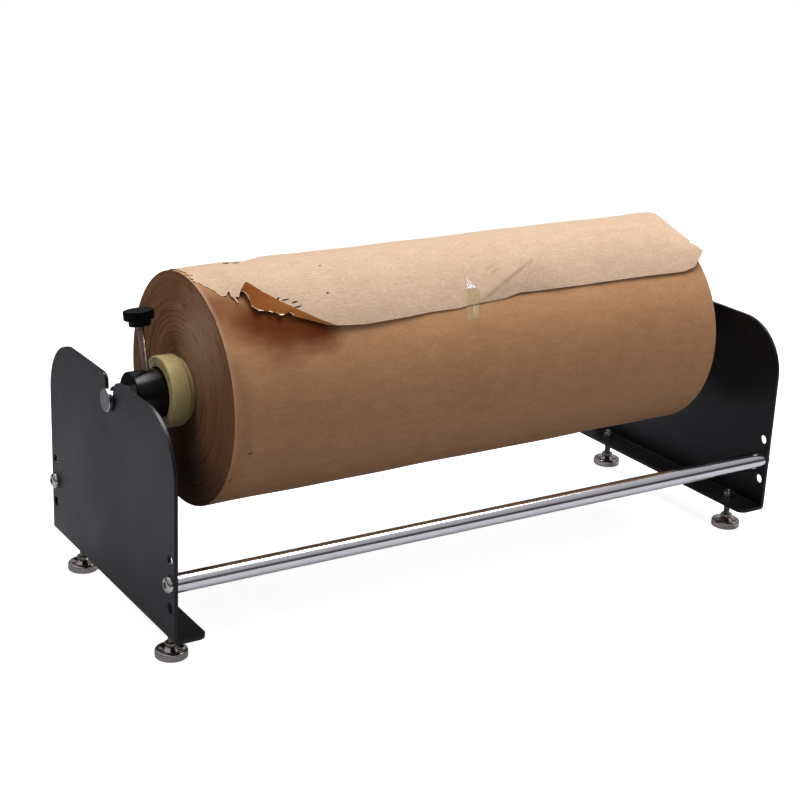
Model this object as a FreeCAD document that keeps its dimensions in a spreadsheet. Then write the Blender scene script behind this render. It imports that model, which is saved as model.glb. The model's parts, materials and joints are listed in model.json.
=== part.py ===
import FreeCAD, Part
import os
import re

import Sketcher

# A tabletop stand for a roll of wrapping paper, in millimetres.
# X runs along the roll shaft, -Y is the front, where the paper is drawn off, and +Z is up.
# The origin is on the floor, midway between the two side plates.

Vector = FreeCAD.Vector

SIZES = (
    # side plates
    ("end_space", 60.0, "from the paper's end to the side plate's outer face, if centred"),
    ("plate_depth", 256.0, "front to rear of a side plate"),
    ("plate_top", 210.0, "top edge of a side plate above the floor"),
    ("flange_underside", 27.5, "underside of the foot flanges above the floor"),
    ("flange_width", 29.0, "width of a foot flange from the plate's outer face"),
    ("sheet", 3.0, "thickness of the folded sheet"),
    ("bend_radius", 0.6, "inner radius of the fold"),
    ("plate_corner", 50.0, "radius of the plate's two top corners"),
    ("flange_corner", 8.0, "radius of the flange's two inner corners"),
    ("notch_width", 15.0, "width of the open notch that the shaft lies in"),
    ("notch_front_lip", 12.0, "radius of the notch's front lip"),
    ("notch_rear_lip", 7.0, "radius of the notch's rear lip"),
    # tie rods and their screws
    ("rod_diameter", 15.5, "tie rod"),
    ("rod_inset", 8.2, "rod holes from the plate's front and rear edges"),
    ("rod_height", 76.5, "rod axis above the floor"),
    ("rod_hole_pitch", 20.0, "spacing of the three rod holes in a column"),
    ("tap_depth", 24.0, "depth of the tapped hole in a rod's end"),
    ("screw_thread", 8.0, "thread of the rod screws"),
    ("screw_play", 0.5, "radial clearance of a rod screw in the plate's hole"),
    ("screw_length", 22.0, "rod screw under its head"),
    ("screw_head", 14.0, "rod screw head diameter"),
    ("screw_head_height", 4.4, "rod screw head height"),
    ("screw_head_rounding", 3.7, "rounding of the rod screw's head"),
    ("screw_socket", 5.0, "rod screw hexagon socket across flats"),
    ("screw_socket_depth", 2.6, "rod screw hexagon socket depth"),
    # feet
    ("foot_inset_end", 35.0, "foot centre from the plate's front and rear edges"),
    ("foot_inset_side", 13.3, "foot centre from the plate's outer face"),
    ("pad_diameter", 27.0, "foot pad"),
    ("pad_height", 7.0, "rim of the foot pad above the floor"),
    ("pad_rim", 3.0, "width of the pad's rim round its dished top"),
    ("pad_rim_radius", 2.5, "rounding of the pad's outer top edge"),
    ("pad_foot_chamfer", 0.6, "chamfer of the pad's bottom edge"),
    ("pad_dish", 1.2, "depth of the pad's dished top"),
    ("boss_base", 14.0, "foot of the pad's conical boss"),
    ("boss_top", 7.6, "head of the pad's conical boss"),
    ("boss_height", 9.0, "top of the pad's boss above the floor"),
    ("stud_thread", 6.0, "foot stud thread"),
    ("stud_seat_depth", 4.5, "how deep the stud sits in the pad"),
    ("stud_hexagon", 10.0, "foot stud hexagon across flats"),
    ("stud_hexagon_height", 3.0, "height of the foot stud's hexagon"),
    ("stud_top", 38.5, "top of a foot stud above the floor"),
    ("nut_hexagon", 10.0, "weld nut across flats"),
    ("nut_height", 5.0, "weld nut height"),
    # roll shaft
    ("shaft_y", -4.0, "shaft axis from the plates' middle"),
    ("shaft_z", 191.0, "shaft axis above the floor"),
    ("shaft_diameter", 20.0, "roll shaft"),
    ("notch_play", 0.1, "radial clearance of the shaft's neck in the notch"),
    ("neck_inner_play", 1.5, "from a plate's inner face to the shaft's shoulder"),
    ("neck_outer_play", 1.0, "from a plate's outer face to the head disc"),
    ("head_disc", 3.0, "thickness of the head disc at each end of the shaft"),
    ("shaft_chamfer", 0.6, "chamfer of the shaft's ends"),
    # roll
    ("roll_length", 500.0, "length of the paper roll"),
    ("roll_shift", 3.0, "middle of the roll from the middle of the stand"),
    ("roll_left_diameter", 197.0, "wound paper at the left end"),
    ("roll_right_diameter", 190.0, "wound paper at the right end"),
    ("core_diameter", 60.0, "outside of the paper core"),
    ("core_wall", 5.0, "wall of the paper core"),
    ("lap_thickness", 0.8, "loose last lap of paper"),
    ("lap_left_lift", 0.7, "gap between the lap and the roll at the roll's left end"),
    ("lap_right_lift", 5.0, "gap between the lap and the roll at the roll's right end"),
    ("lap_edge_angle", 48.0, "free edge of the lap, from the top towards the front"),
    ("lap_arc", 158.0, "arc that the loose lap covers"),
    ("lap_left_gap", 5.0, "bare stretch of roll at the lap's left edge"),
    ("lap_overhang", 3.0, "how far the lap stands out past the roll's right end"),
    ("lap_tear_length", 96.0, "torn corner of the lap, along its free edge"),
    ("lap_tear_depth", 76.0, "torn corner of the lap, from its free edge to the rear"),
    ("tape_width", 13.0, "width of the tape"),
    ("tape_arc", 28.0, "arc that the tape covers"),
    ("tape_angle", 62.0, "front end of the tape, from the top towards the front"),
    ("tape_x", -10.0, "middle of the tape along the shaft"),
    ("tape_thickness", 0.3, "thickness of the tape"),
    # core plugs
    ("plug_proud", 20.0, "how far a core plug stands out of the roll"),
    ("plug_flange", 60.0, "flange diameter of a core plug"),
    ("plug_flange_thickness", 15.4, "flange thickness of a core plug"),
    ("plug_bead", 1.8, "width of the bead at the flange's back edge"),
    ("plug_groove", 0.8, "width of the groove beside the bead"),
    ("plug_groove_depth", 0.5, "depth of the groove beside the bead"),
    ("plug_shoulder", 53.0, "shoulder that meets the core's end"),
    ("plug_hub_length", 22.0, "how far a plug reaches into the core"),
    ("plug_recess", 42.0, "diameter of the dish in the plug's face"),
    ("plug_recess_depth", 9.5, "depth of the dish in the plug's face"),
    ("plug_rim_radius", 1.8, "rounding of the plug's outer rim"),
    ("plug_dish_radius", 0.6, "rounding of the dish's edge"),
    ("plug_back_radius", 1.0, "rounding of the flange's back edge"),
    # lock collars and thumb screws
    ("collar_diameter", 40.0, "lock collar"),
    ("collar_length", 35.0, "lock collar"),
    ("collar_chamfer", 1.0, "chamfer of the collar's ends"),
    ("thumb_thread", 6.0, "thumb screw thread"),
    ("thumb_lean_back", 8.0, "thumb screw's lean towards the rear"),
    ("thumb_lean_out", 4.0, "thumb screw's lean towards its side plate"),
    ("knob_seat", 57.0, "underside of the knob from the shaft's axis"),
    ("knob_hub", 18.0, "hub diameter of the knob"),
    ("knob_hub_height", 5.0, "hub height of the knob"),
    ("knob_disc", 25.0, "disc diameter of the knob"),
    ("knob_disc_height", 7.5, "disc height of the knob"),
    ("knob_edge", 0.8, "rounding of the knob's disc"),
    ("knob_bore_depth", 8.0, "how deep the thumb screw's stud sits in the knob"),
    ("knob_groove", 1.3, "diameter of a grip groove in the knob's rim"),
    ("knob_grooves", 40, "number of grip grooves"),
    # clearances
    ("running_play", 0.05, "radial play of what turns or slides"),
    ("seat_play", 0.3, "gap between faces that pass close by"),
)

ALIASES = {alias for alias, _, _ in SIZES}

# A line's or circle's points and the sketch's own axes, as Sketcher numbers them.
START, END, CENTRE = range(1, 4)
HORIZONTAL_AXIS, VERTICAL_AXIS = range(-1, -3, -1)
ORIGIN = (HORIZONTAL_AXIS, START)

# The signs of X and of Y.
LEFT, RIGHT = range(-1, 2, 2)
FRONT, REAR = range(-1, 2, 2)
SIDE_NAMES = {LEFT: "left", RIGHT: "right"}
END_NAMES = {FRONT: "front", REAR: "rear"}

# Half the distance over the side plates' outer faces.
PLATE_X = "(roll_length / 2 + end_space)"

doc = FreeCAD.newDocument("RollStand")
sizes = doc.addObject("Spreadsheet::Sheet", "Sizes")
for row, (alias, value, meaning) in enumerate(SIZES, start=1):
    sizes.set(f"A{row}", meaning)
    sizes.set(f"B{row}", str(value))
    sizes.setAlias(f"B{row}", alias)
doc.recompute()

sub_parts = []


# --- formulas, sketches and features -----------------------------------------------------------

def cells(formula):
    """The formula with every size's name turned into its cell in the spreadsheet."""
    return re.sub(r"[a-z_]+", lambda word: f"Sizes.{word[0]}" if word[0] in ALIASES else word[0], formula)


def number(formula):
    return float(sizes.evalExpression(cells(formula)))


def new_body(label):
    body = doc.addObject("PartDesign::Body", label)
    body.Label = label
    sub_parts.append(body)
    return body


def place(body, x="0", y="0", z="0"):
    for axis, formula in (("x", x), ("y", y), ("z", z)):
        body.setExpression(f"Placement.Base.{axis}", cells(formula))


def new_sketch(body, name, plane, offset="0"):
    """A sketch on one of the body's own origin planes, moved along that plane's normal."""
    sketch = body.newObject("Sketcher::SketchObject", name)
    origin_plane = next(f for f in body.Origin.OriginFeatures if f.Role == plane)
    sketch.AttachmentSupport = [(origin_plane, "")]
    sketch.MapMode = "FlatFace"
    sketch.setExpression("AttachmentOffset.Base.z", cells(offset))
    return sketch


def drive(sketch, kind, formula, *geometry):
    index = sketch.addConstraint(Sketcher.Constraint(kind, *geometry, number(formula)))
    sketch.setExpression(f"Constraints[{index}]", cells(formula))


def drive_point(sketch, edge, end, x, y):
    """Ties one point of a sketch to the formulas of its coordinates."""
    for kind, axis, formula in (("DistanceX", VERTICAL_AXIS, x), ("DistanceY", HORIZONTAL_AXIS, y)):
        if formula == "0":
            sketch.addConstraint(Sketcher.Constraint("PointOnObject", edge, end, axis))
        else:
            drive(sketch, kind, formula, *ORIGIN, edge, end)


def draw_outline(sketch, corners):
    """A closed outline of straight lines through corners, each a pair of formulas."""
    points = [Vector(number(x), number(y), 0) for x, y in corners]
    first = sketch.GeometryCount
    count = len(points)
    for i in range(count):
        sketch.addGeometry(Part.LineSegment(points[i], points[(i + 1) % count]))
    for i, (x, y) in enumerate(corners):
        before = first + (i - 1) % count
        sketch.addConstraint(Sketcher.Constraint("Coincident", before, END, first + i, START))
        drive_point(sketch, first + i, START, x, y)


def draw_circle(sketch, x, y, diameter):
    centre = Vector(number(x), number(y), 0)
    edge = sketch.addGeometry(Part.Circle(centre, Vector(0, 0, 1), number(diameter) / 2))
    drive_point(sketch, edge, CENTRE, x, y)
    drive(sketch, "Diameter", diameter, edge)


def draw_hexagon(sketch, across_flats):
    """A regular hexagon round the sketch's origin, with one corner on the horizontal axis."""
    corner_radius = number(across_flats) / 3 ** 0.5
    turn = FreeCAD.Rotation(Vector(0, 0, 1), 60)
    corners = [Vector(corner_radius, 0, 0)]
    for _ in range(5):
        corners.append(turn.multVec(corners[-1]))
    for i in range(6):
        sketch.addGeometry(Part.LineSegment(corners[i], corners[(i + 1) % 6]))
    guide = sketch.addGeometry(Part.Circle(Vector(), Vector(0, 0, 1), corner_radius), True)
    drive_point(sketch, guide, CENTRE, "0", "0")
    drive(sketch, "Diameter", f"2 * {across_flats} / sqrt(3)", guide)
    for i in range(6):
        sketch.addConstraint(Sketcher.Constraint("Coincident", (i - 1) % 6, END, i, START))
        sketch.addConstraint(Sketcher.Constraint("PointOnObject", i, START, guide))
        if i:
            sketch.addConstraint(Sketcher.Constraint("Equal", 0, i))
    sketch.addConstraint(Sketcher.Constraint("PointOnObject", 0, START, HORIZONTAL_AXIS))


def pad(body, sketch, length, reverse=False, both_ways=False):
    feature = body.newObject("PartDesign::Pad", sketch.Name + "Pad")
    feature.Profile = sketch
    feature.setExpression("Length", cells(length))
    feature.SideType = "Symmetric" if both_ways else "One side"
    feature.Reversed = reverse
    doc.recompute()
    return feature


def revolve(body, sketch, axis, angle="360"):
    feature = body.newObject("PartDesign::Revolution", sketch.Name + "Revolution")
    feature.Profile = sketch
    feature.ReferenceAxis = (sketch, [axis])
    feature.setExpression("Angle", cells(angle))
    doc.recompute()
    return feature


def cut(body, sketch, length=None, along_normal=False):
    """Pockets the sketch: through everything both ways, or by a length. It has to take material."""
    volume = body.Shape.Volume
    feature = body.newObject("PartDesign::Pocket", sketch.Name + "Pocket")
    feature.Profile = sketch
    if length is None:
        feature.Type = "ThroughAll"
        feature.SideType = "Symmetric"
    else:
        feature.setExpression("Length", cells(length))
        feature.Reversed = along_normal
    doc.recompute()
    if body.Shape.Volume > volume - 1e-6:
        raise ValueError(f"{feature.Label} cuts nothing from {body.Label}")
    return feature


def edges_at(feature, **place_of):
    """Names of the feature's edges whose ends all have the coordinates given, such as y=5."""
    names = []
    for i, edge in enumerate(feature.Shape.Edges, start=1):
        points = [vertex.Point for vertex in edge.Vertexes]
        if all(abs(getattr(p, axis) - number(at)) < 1e-4 for p in points for axis, at in place_of.items()):
            names.append(f"Edge{i}")
    return names


def dress(body, kind, size, *edge_places):
    """A Fillet or Chamfer on the edges of the body's last feature that lie at the given places."""
    last = body.Tip
    names = [name for place_of in edge_places for name in edges_at(last, **place_of)]
    if len(names) < len(edge_places):
        raise ValueError(f"{body.Label} lacks an edge for its {kind}")
    feature = body.newObject(f"PartDesign::{kind}", kind)
    feature.Base = (last, names)
    feature.setExpression("Radius" if kind == "Fillet" else "Size", cells(size))
    doc.recompute()
    if not feature.isValid():
        raise ValueError(f"{body.Label} can't take its {kind} of {size}")
    return feature


# --- the stand ---------------------------------------------------------------------------------

def side_plate(side):
    """A folded sheet plate: its local origin is on the outer face, and inward is its open side."""
    inward = -side
    body = new_body(f"side_plate_{SIDE_NAMES[side]}")

    front, rear = "-plate_depth / 2", "plate_depth / 2"
    web = new_sketch(body, "Web", "YZ_Plane")
    draw_outline(web, [(front, "flange_underside"), (rear, "flange_underside"),
                       (rear, "plate_top"), (front, "plate_top")])
    pad(body, web, "sheet", reverse=inward < 0)

    flange = new_sketch(body, "Flange", "XY_Plane", "flange_underside")
    tip = f"{inward} * flange_width"
    draw_outline(flange, [("0", front), (tip, front), (tip, rear), ("0", rear)])
    pad(body, flange, "sheet")

    dress(body, "Fillet", "plate_corner",
          {"y": front, "z": "plate_top"}, {"y": rear, "z": "plate_top"})
    dress(body, "Fillet", "flange_corner",
          {"x": tip, "y": front}, {"x": tip, "y": rear})
    dress(body, "Fillet", "bend_radius",
          {"x": f"{inward} * sheet", "z": "flange_underside + sheet"})
    dress(body, "Fillet", "bend_radius + sheet",
          {"x": "0", "z": "flange_underside"})

    notch_front, notch_rear = "shaft_y - notch_width / 2", "shaft_y + notch_width / 2"
    throat = new_sketch(body, "NotchThroat", "YZ_Plane")
    draw_outline(throat, [(notch_front, "shaft_z"), (notch_rear, "shaft_z"),
                          (notch_rear, "plate_top"), (notch_front, "plate_top")])
    cut(body, throat)
    seat = new_sketch(body, "NotchSeat", "YZ_Plane")
    draw_circle(seat, "shaft_y", "shaft_z", "notch_width")
    cut(body, seat)
    dress(body, "Fillet", "notch_front_lip", {"y": notch_front, "z": "plate_top"})
    dress(body, "Fillet", "notch_rear_lip", {"y": notch_rear, "z": "plate_top"})

    rod_holes = new_sketch(body, "RodHoles", "YZ_Plane")
    for end in (FRONT, REAR):
        for step in (-1, 0, 1):
            draw_circle(rod_holes, f"{end} * (plate_depth / 2 - rod_inset)",
                        f"rod_height + {step} * rod_hole_pitch", "screw_thread + 2 * screw_play")
    cut(body, rod_holes)

    foot_holes = new_sketch(body, "FootHoles", "XY_Plane")
    for end in (FRONT, REAR):
        draw_circle(foot_holes, f"{inward} * foot_inset_side",
                    f"{end} * (plate_depth / 2 - foot_inset_end)", "stud_thread + 2 * running_play")
    cut(body, foot_holes)

    place(body, x=f"{side} * {PLATE_X}")


def tie_rod(end):
    body = new_body(f"{END_NAMES[end]}_tie_rod")
    length = f"2 * ({PLATE_X} - sheet)"
    section = new_sketch(body, "Section", "YZ_Plane")
    draw_circle(section, "0", "0", "rod_diameter")
    pad(body, section, length, both_ways=True)
    for side in (LEFT, RIGHT):
        tapped = new_sketch(body, f"Tapped{SIDE_NAMES[side]}", "YZ_Plane", f"{side} * ({length}) / 2")
        draw_circle(tapped, "0", "0", "screw_thread")
        cut(body, tapped, "tap_depth", along_normal=side == LEFT)
    place(body, y=f"{end} * (plate_depth / 2 - rod_inset)", z="rod_height")


def rod_screw(end, side):
    """Button-head screw: its local origin is under the head, on the plate's outer face."""
    body = new_body(f"rod_screw_{END_NAMES[end]}_{SIDE_NAMES[side]}")
    profile = new_sketch(body, "Profile", "XZ_Plane")
    tip, top = f"{-side} * screw_length", f"{side} * screw_head_height"
    shank = "screw_thread / 2 - running_play"
    draw_outline(profile, [(tip, "0"), (tip, shank), ("0", shank),
                           ("0", "screw_head / 2"), (top, "screw_head / 2"), (top, "0")])
    revolve(body, profile, "H_Axis")
    dress(body, "Fillet", "min(screw_head_rounding; 0.9 * screw_head_height)",
          {"x": top, "z": "screw_head / 2"})
    socket = new_sketch(body, "Socket", "YZ_Plane", top)
    draw_hexagon(socket, "screw_socket")
    cut(body, socket, "screw_socket_depth", along_normal=side == LEFT)
    place(body, x=f"{side} * {PLATE_X}",
          y=f"{end} * (plate_depth / 2 - rod_inset)", z="rod_height")


# --- the feet ----------------------------------------------------------------------------------

def place_at_foot(body, end, side):
    place(body, x=f"{side} * ({PLATE_X} - foot_inset_side)",
          y=f"{end} * (plate_depth / 2 - foot_inset_end)")


def foot_pad(end, side):
    body = new_body(f"foot_pad_{END_NAMES[end]}_{SIDE_NAMES[side]}")
    seat_floor = "boss_height - stud_seat_depth - seat_play"
    profile = new_sketch(body, "Profile", "XZ_Plane")
    draw_outline(profile, [
        ("0", "0"), ("pad_diameter / 2 - pad_foot_chamfer", "0"),
        ("pad_diameter / 2", "pad_foot_chamfer"), ("pad_diameter / 2", "pad_height"),
        ("pad_diameter / 2 - pad_rim", "pad_height"), ("boss_base / 2", "pad_height - pad_dish"),
        ("boss_top / 2", "boss_height"), ("stud_thread / 2 + running_play", "boss_height"),
        ("stud_thread / 2 + running_play", seat_floor), ("0", seat_floor)])
    revolve(body, profile, "V_Axis")
    dress(body, "Fillet", "pad_rim_radius", {"x": "pad_diameter / 2", "z": "pad_height"})
    place_at_foot(body, end, side)


def foot_stud(end, side):
    body = new_body(f"foot_stud_{END_NAMES[end]}_{SIDE_NAMES[side]}")
    bottom = "boss_height - stud_seat_depth"
    thread = new_sketch(body, "Thread", "XY_Plane", bottom)
    draw_circle(thread, "0", "0", "stud_thread")
    pad(body, thread, f"stud_top - ({bottom})")
    hexagon = new_sketch(body, "Hexagon", "XY_Plane", "boss_height + seat_play")
    draw_hexagon(hexagon, "stud_hexagon")
    pad(body, hexagon, "stud_hexagon_height")
    place_at_foot(body, end, side)


def foot_nut(end, side):
    """Weld nut on top of the flange, which the foot's stud is screwed through."""
    body = new_body(f"foot_nut_{END_NAMES[end]}_{SIDE_NAMES[side]}")
    section = new_sketch(body, "Section", "XY_Plane", "flange_underside + sheet")
    draw_hexagon(section, "nut_hexagon")
    draw_circle(section, "0", "0", "stud_thread + 2 * running_play")
    pad(body, section, "nut_height")
    place_at_foot(body, end, side)


# --- the roll shaft and what is locked to it ---------------------------------------------------

def roll_shaft():
    body = new_body("roll_shaft")
    shoulder = f"{PLATE_X} - sheet - neck_inner_play"
    disc = f"{PLATE_X} + neck_outer_play"
    tip = f"{disc} + head_disc"
    neck = "notch_width / 2 - notch_play"
    half = [(shoulder, "shaft_diameter / 2"), (shoulder, neck), (disc, neck),
            (disc, "shaft_diameter / 2"), (f"{tip} - shaft_chamfer", "shaft_diameter / 2"),
            (tip, "shaft_diameter / 2 - shaft_chamfer"), (tip, "0")]
    mirrored = [(f"-({x})", radius) for x, radius in reversed(half)]
    profile = new_sketch(body, "Profile", "XZ_Plane")
    draw_outline(profile, mirrored + half)
    revolve(body, profile, "H_Axis")
    place(body, y="shaft_y", z="shaft_z")


def roll_end(side):
    """Formula for the X of the paper roll's end."""
    return f"roll_shift + {side} * roll_length / 2"


def collar_x(side):
    """Formula for the X of the lock collar's middle: its inner end is in the plug's dish."""
    beyond_roll = "plug_proud - plug_recess_depth + seat_play + collar_length / 2"
    return f"{roll_end(side)} + {side} * ({beyond_roll})"


def thumb_turn(side):
    """The thumb screw's own direction, as a rotation of straight up."""
    lean_out = FreeCAD.Rotation(Vector(0, 1, 0), side * number("thumb_lean_out"))
    lean_back = FreeCAD.Rotation(Vector(1, 0, 0), -number("thumb_lean_back"))
    return lean_out * lean_back


def lock_collar(side):
    body = new_body(f"lock_collar_{SIDE_NAMES[side]}")
    section = new_sketch(body, "Section", "YZ_Plane")
    draw_circle(section, "0", "0", "collar_diameter")
    draw_circle(section, "0", "0", "shaft_diameter + 2 * running_play")
    pad(body, section, "collar_length", both_ways=True)
    dress(body, "Chamfer", "collar_chamfer",
          {"x": "collar_length / 2", "y": "collar_diameter / 2"},
          {"x": "-collar_length / 2", "y": "collar_diameter / 2"})
    tapped = new_sketch(body, "TappedHole", "XY_Plane")
    draw_circle(tapped, "0", "0", "thumb_thread + 2 * running_play")
    tapped.AttachmentOffset = FreeCAD.Placement(Vector(), thumb_turn(side))
    cut(body, tapped, "collar_diameter", along_normal=True)
    place(body, x=collar_x(side), y="shaft_y", z="shaft_z")


def place_on_thumb_axis(body, side):
    body.Placement = FreeCAD.Placement(Vector(), thumb_turn(side))
    place(body, x=collar_x(side), y="shaft_y", z="shaft_z")


def thumb_screw_stud(side):
    """Threaded stud whose tip presses on the shaft; its local Z runs out from the shaft's axis."""
    body = new_body(f"thumb_screw_stud_{SIDE_NAMES[side]}")
    tip = "shaft_diameter / 2 + seat_play"
    thread = new_sketch(body, "Thread", "XY_Plane", tip)
    draw_circle(thread, "0", "0", "thumb_thread")
    pad(body, thread, f"knob_seat + knob_bore_depth - seat_play - ({tip})")
    place_on_thumb_axis(body, side)


def thumb_screw_knob(side):
    body = new_body(f"thumb_screw_knob_{SIDE_NAMES[side]}")
    disc_bottom = "knob_seat + knob_hub_height"
    top = f"{disc_bottom} + knob_disc_height"
    bore_radius = "thumb_thread / 2 + running_play"
    bore_end = "knob_seat + knob_bore_depth"
    profile = new_sketch(body, "Profile", "XZ_Plane")
    draw_outline(profile, [
        (bore_radius, "knob_seat"), ("knob_hub / 2", "knob_seat"), ("knob_hub / 2", disc_bottom),
        ("knob_disc / 2", disc_bottom), ("knob_disc / 2", top), ("0", top),
        ("0", bore_end), (bore_radius, bore_end)])
    revolve(body, profile, "V_Axis")
    dress(body, "Fillet", "knob_edge",
          {"x": "knob_disc / 2", "z": disc_bottom}, {"x": "knob_disc / 2", "z": top})
    groove = new_sketch(body, "GripGroove", "XY_Plane", disc_bottom)
    draw_circle(groove, "knob_disc / 2", "0", "knob_groove")
    first_groove = cut(body, groove, "knob_disc_height", along_normal=True)
    grip = body.newObject("PartDesign::PolarPattern", "Grip")
    grip.Originals = [first_groove]
    grip.Axis = (groove, ["N_Axis"])
    grip.Angle = 360
    grip.setExpression("Occurrences", cells("knob_grooves"))
    body.Tip = grip
    place_on_thumb_axis(body, side)


# --- the roll ----------------------------------------------------------------------------------

def core_plug(side):
    """Moulded plug: its local origin is in its outer face, and inward points into the core."""
    inward = -side
    body = new_body(f"core_plug_{SIDE_NAMES[side]}")

    def at(depth):
        return f"{inward} * ({depth})"

    bore, dish = "shaft_diameter / 2 + running_play", "plug_recess / 2"
    hub = "core_diameter / 2 - core_wall - running_play"
    hub_end = at("plug_proud + plug_hub_length")
    flange_back = at("plug_flange_thickness")
    groove_start = at("plug_flange_thickness - plug_bead - plug_groove")
    groove_middle = at("plug_flange_thickness - plug_bead - plug_groove / 2")
    groove_end = at("plug_flange_thickness - plug_bead")
    profile = new_sketch(body, "Profile", "XZ_Plane")
    draw_outline(profile, [
        (at("plug_recess_depth"), bore), (at("plug_recess_depth"), dish), ("0", dish),
        ("0", "plug_flange / 2"), (groove_start, "plug_flange / 2"),
        (groove_middle, "plug_flange / 2 - plug_groove_depth"),
        (groove_end, "plug_flange / 2"), (flange_back, "plug_flange / 2"),
        (flange_back, "plug_shoulder / 2"), (at("plug_proud"), "plug_shoulder / 2"),
        (at("plug_proud"), hub), (hub_end, hub), (hub_end, bore)])
    revolve(body, profile, "H_Axis")
    dress(body, "Fillet", "plug_rim_radius", {"x": "0", "z": "plug_flange / 2"})
    dress(body, "Fillet", "plug_dish_radius", {"x": "0", "z": dish})
    dress(body, "Fillet", "plug_back_radius",
          {"x": flange_back, "z": "plug_flange / 2"})
    place(body, x=f"{roll_end(side)} + {side} * plug_proud", y="shaft_y", z="shaft_z")


def paper_core():
    body = new_body("paper_core")
    section = new_sketch(body, "Section", "YZ_Plane")
    draw_circle(section, "0", "0", "core_diameter")
    draw_circle(section, "0", "0", "core_diameter - 2 * core_wall")
    pad(body, section, "roll_length", both_ways=True)
    place(body, x="roll_shift", y="shaft_y", z="shaft_z")


def paper_roll():
    body = new_body("paper_roll")
    profile = new_sketch(body, "Profile", "XZ_Plane")
    left, right = "-roll_length / 2", "roll_length / 2"
    inside = "core_diameter / 2 + running_play"
    draw_outline(profile, [(left, inside), (right, inside),
                           (right, "roll_right_diameter / 2"), (left, "roll_left_diameter / 2")])
    revolve(body, profile, "H_Axis")
    place(body, x="roll_shift", y="shaft_y", z="shaft_z")


def lap_inside(x):
    """Formula for the loose lap's inner radius at x."""
    share = f"(({x}) - ({roll_end(LEFT)})) / roll_length"
    left = "roll_left_diameter / 2 + lap_left_lift"
    right = "roll_right_diameter / 2 + lap_right_lift"
    return f"{left} + ({right} - ({left})) * {share}"


def curved_strip(label, left, right, above_lap_inside, thickness, front_angle, arc):
    """A strip of paper or tape over the roll's top, from front_angle back over its arc."""
    body = new_body(label)
    profile = new_sketch(body, "Profile", "XZ_Plane")
    inside_left, inside_right = (f"{lap_inside(x)} + {above_lap_inside}" for x in (left, right))
    draw_outline(profile, [(left, inside_left), (right, inside_right),
                           (right, f"{inside_right} + {thickness}"),
                           (left, f"{inside_left} + {thickness}")])
    revolve(body, profile, "H_Axis", arc)
    turn = FreeCAD.Rotation(Vector(1, 0, 0), number(f"{front_angle} - {arc}"))
    body.Placement = FreeCAD.Placement(Vector(), turn)
    place(body, y="shaft_y", z="shaft_z")
    return body


def outer_lap():
    """The loose lap, with its front left corner torn off."""
    left, right = f"{roll_end(LEFT)} + lap_left_gap", f"{roll_end(RIGHT)} + lap_overhang"
    body = curved_strip("outer_lap", left, right, "0", "lap_thickness", "lap_edge_angle", "lap_arc")
    edge = f"-({lap_inside(left)}) * sin(lap_edge_angle * 1 deg)"
    beyond = "(lap_right_lift + 2 * lap_thickness)"
    torn_back = f"lap_tear_depth * (1 + {beyond} / lap_tear_length)"
    torn_along = f"lap_tear_length * (1 + {beyond} / lap_tear_depth)"
    tear = new_sketch(body, "Tear", "XY_Plane")
    draw_outline(tear, [(f"{left} - {beyond}", f"{edge} + {torn_back}"),
                        (f"{left} - {beyond}", f"{edge} - {beyond}"),
                        (f"{left} + {torn_along}", f"{edge} - {beyond}")])
    tear.AttachmentOffset = FreeCAD.Placement(Vector(), body.Placement.Rotation.inverted())
    cut(body, tear, f"{lap_inside(right)} + {beyond}", along_normal=True)


def tape_strip():
    curved_strip("tape_strip", "tape_x - tape_width / 2", "tape_x + tape_width / 2",
                 "lap_thickness", "tape_thickness", "tape_angle", "tape_arc")


# --- build, check and export -------------------------------------------------------------------

for side in (LEFT, RIGHT):
    side_plate(side)
    lock_collar(side)
    thumb_screw_stud(side)
    thumb_screw_knob(side)
    core_plug(side)
    for end in (FRONT, REAR):
        rod_screw(end, side)
        foot_pad(end, side)
        foot_stud(end, side)
        foot_nut(end, side)
for end in (FRONT, REAR):
    tie_rod(end)
roll_shaft()
paper_core()
paper_roll()
outer_lap()
tape_strip()
doc.recompute()

for item in doc.Objects:
    if "Invalid" in item.State or "Error" in item.State:
        raise RuntimeError(f"{item.Label} failed: {item.State}")
for body in sub_parts:
    if body.Shape.isNull() or not body.Shape.isValid():
        raise RuntimeError(f"{body.Label} has no valid shape")

os.makedirs("parts", exist_ok=True)
for body in sub_parts:
    body.Shape.exportStep(f"parts/{body.Label}.step")
    box = body.Shape.BoundBox
    print(f"{body.Label}: {len(body.Shape.Solids)} solid, {body.Shape.Volume:.0f} mm3, "
          f"x {box.XMin:.1f}..{box.XMax:.1f}, y {box.YMin:.1f}..{box.YMax:.1f}, "
          f"z {box.ZMin:.1f}..{box.ZMax:.1f}")
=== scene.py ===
import json
import math
import random

import bpy
import numpy as np
from mathutils import Matrix, Vector
from mathutils.geometry import delaunay_2d_cdt

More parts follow.
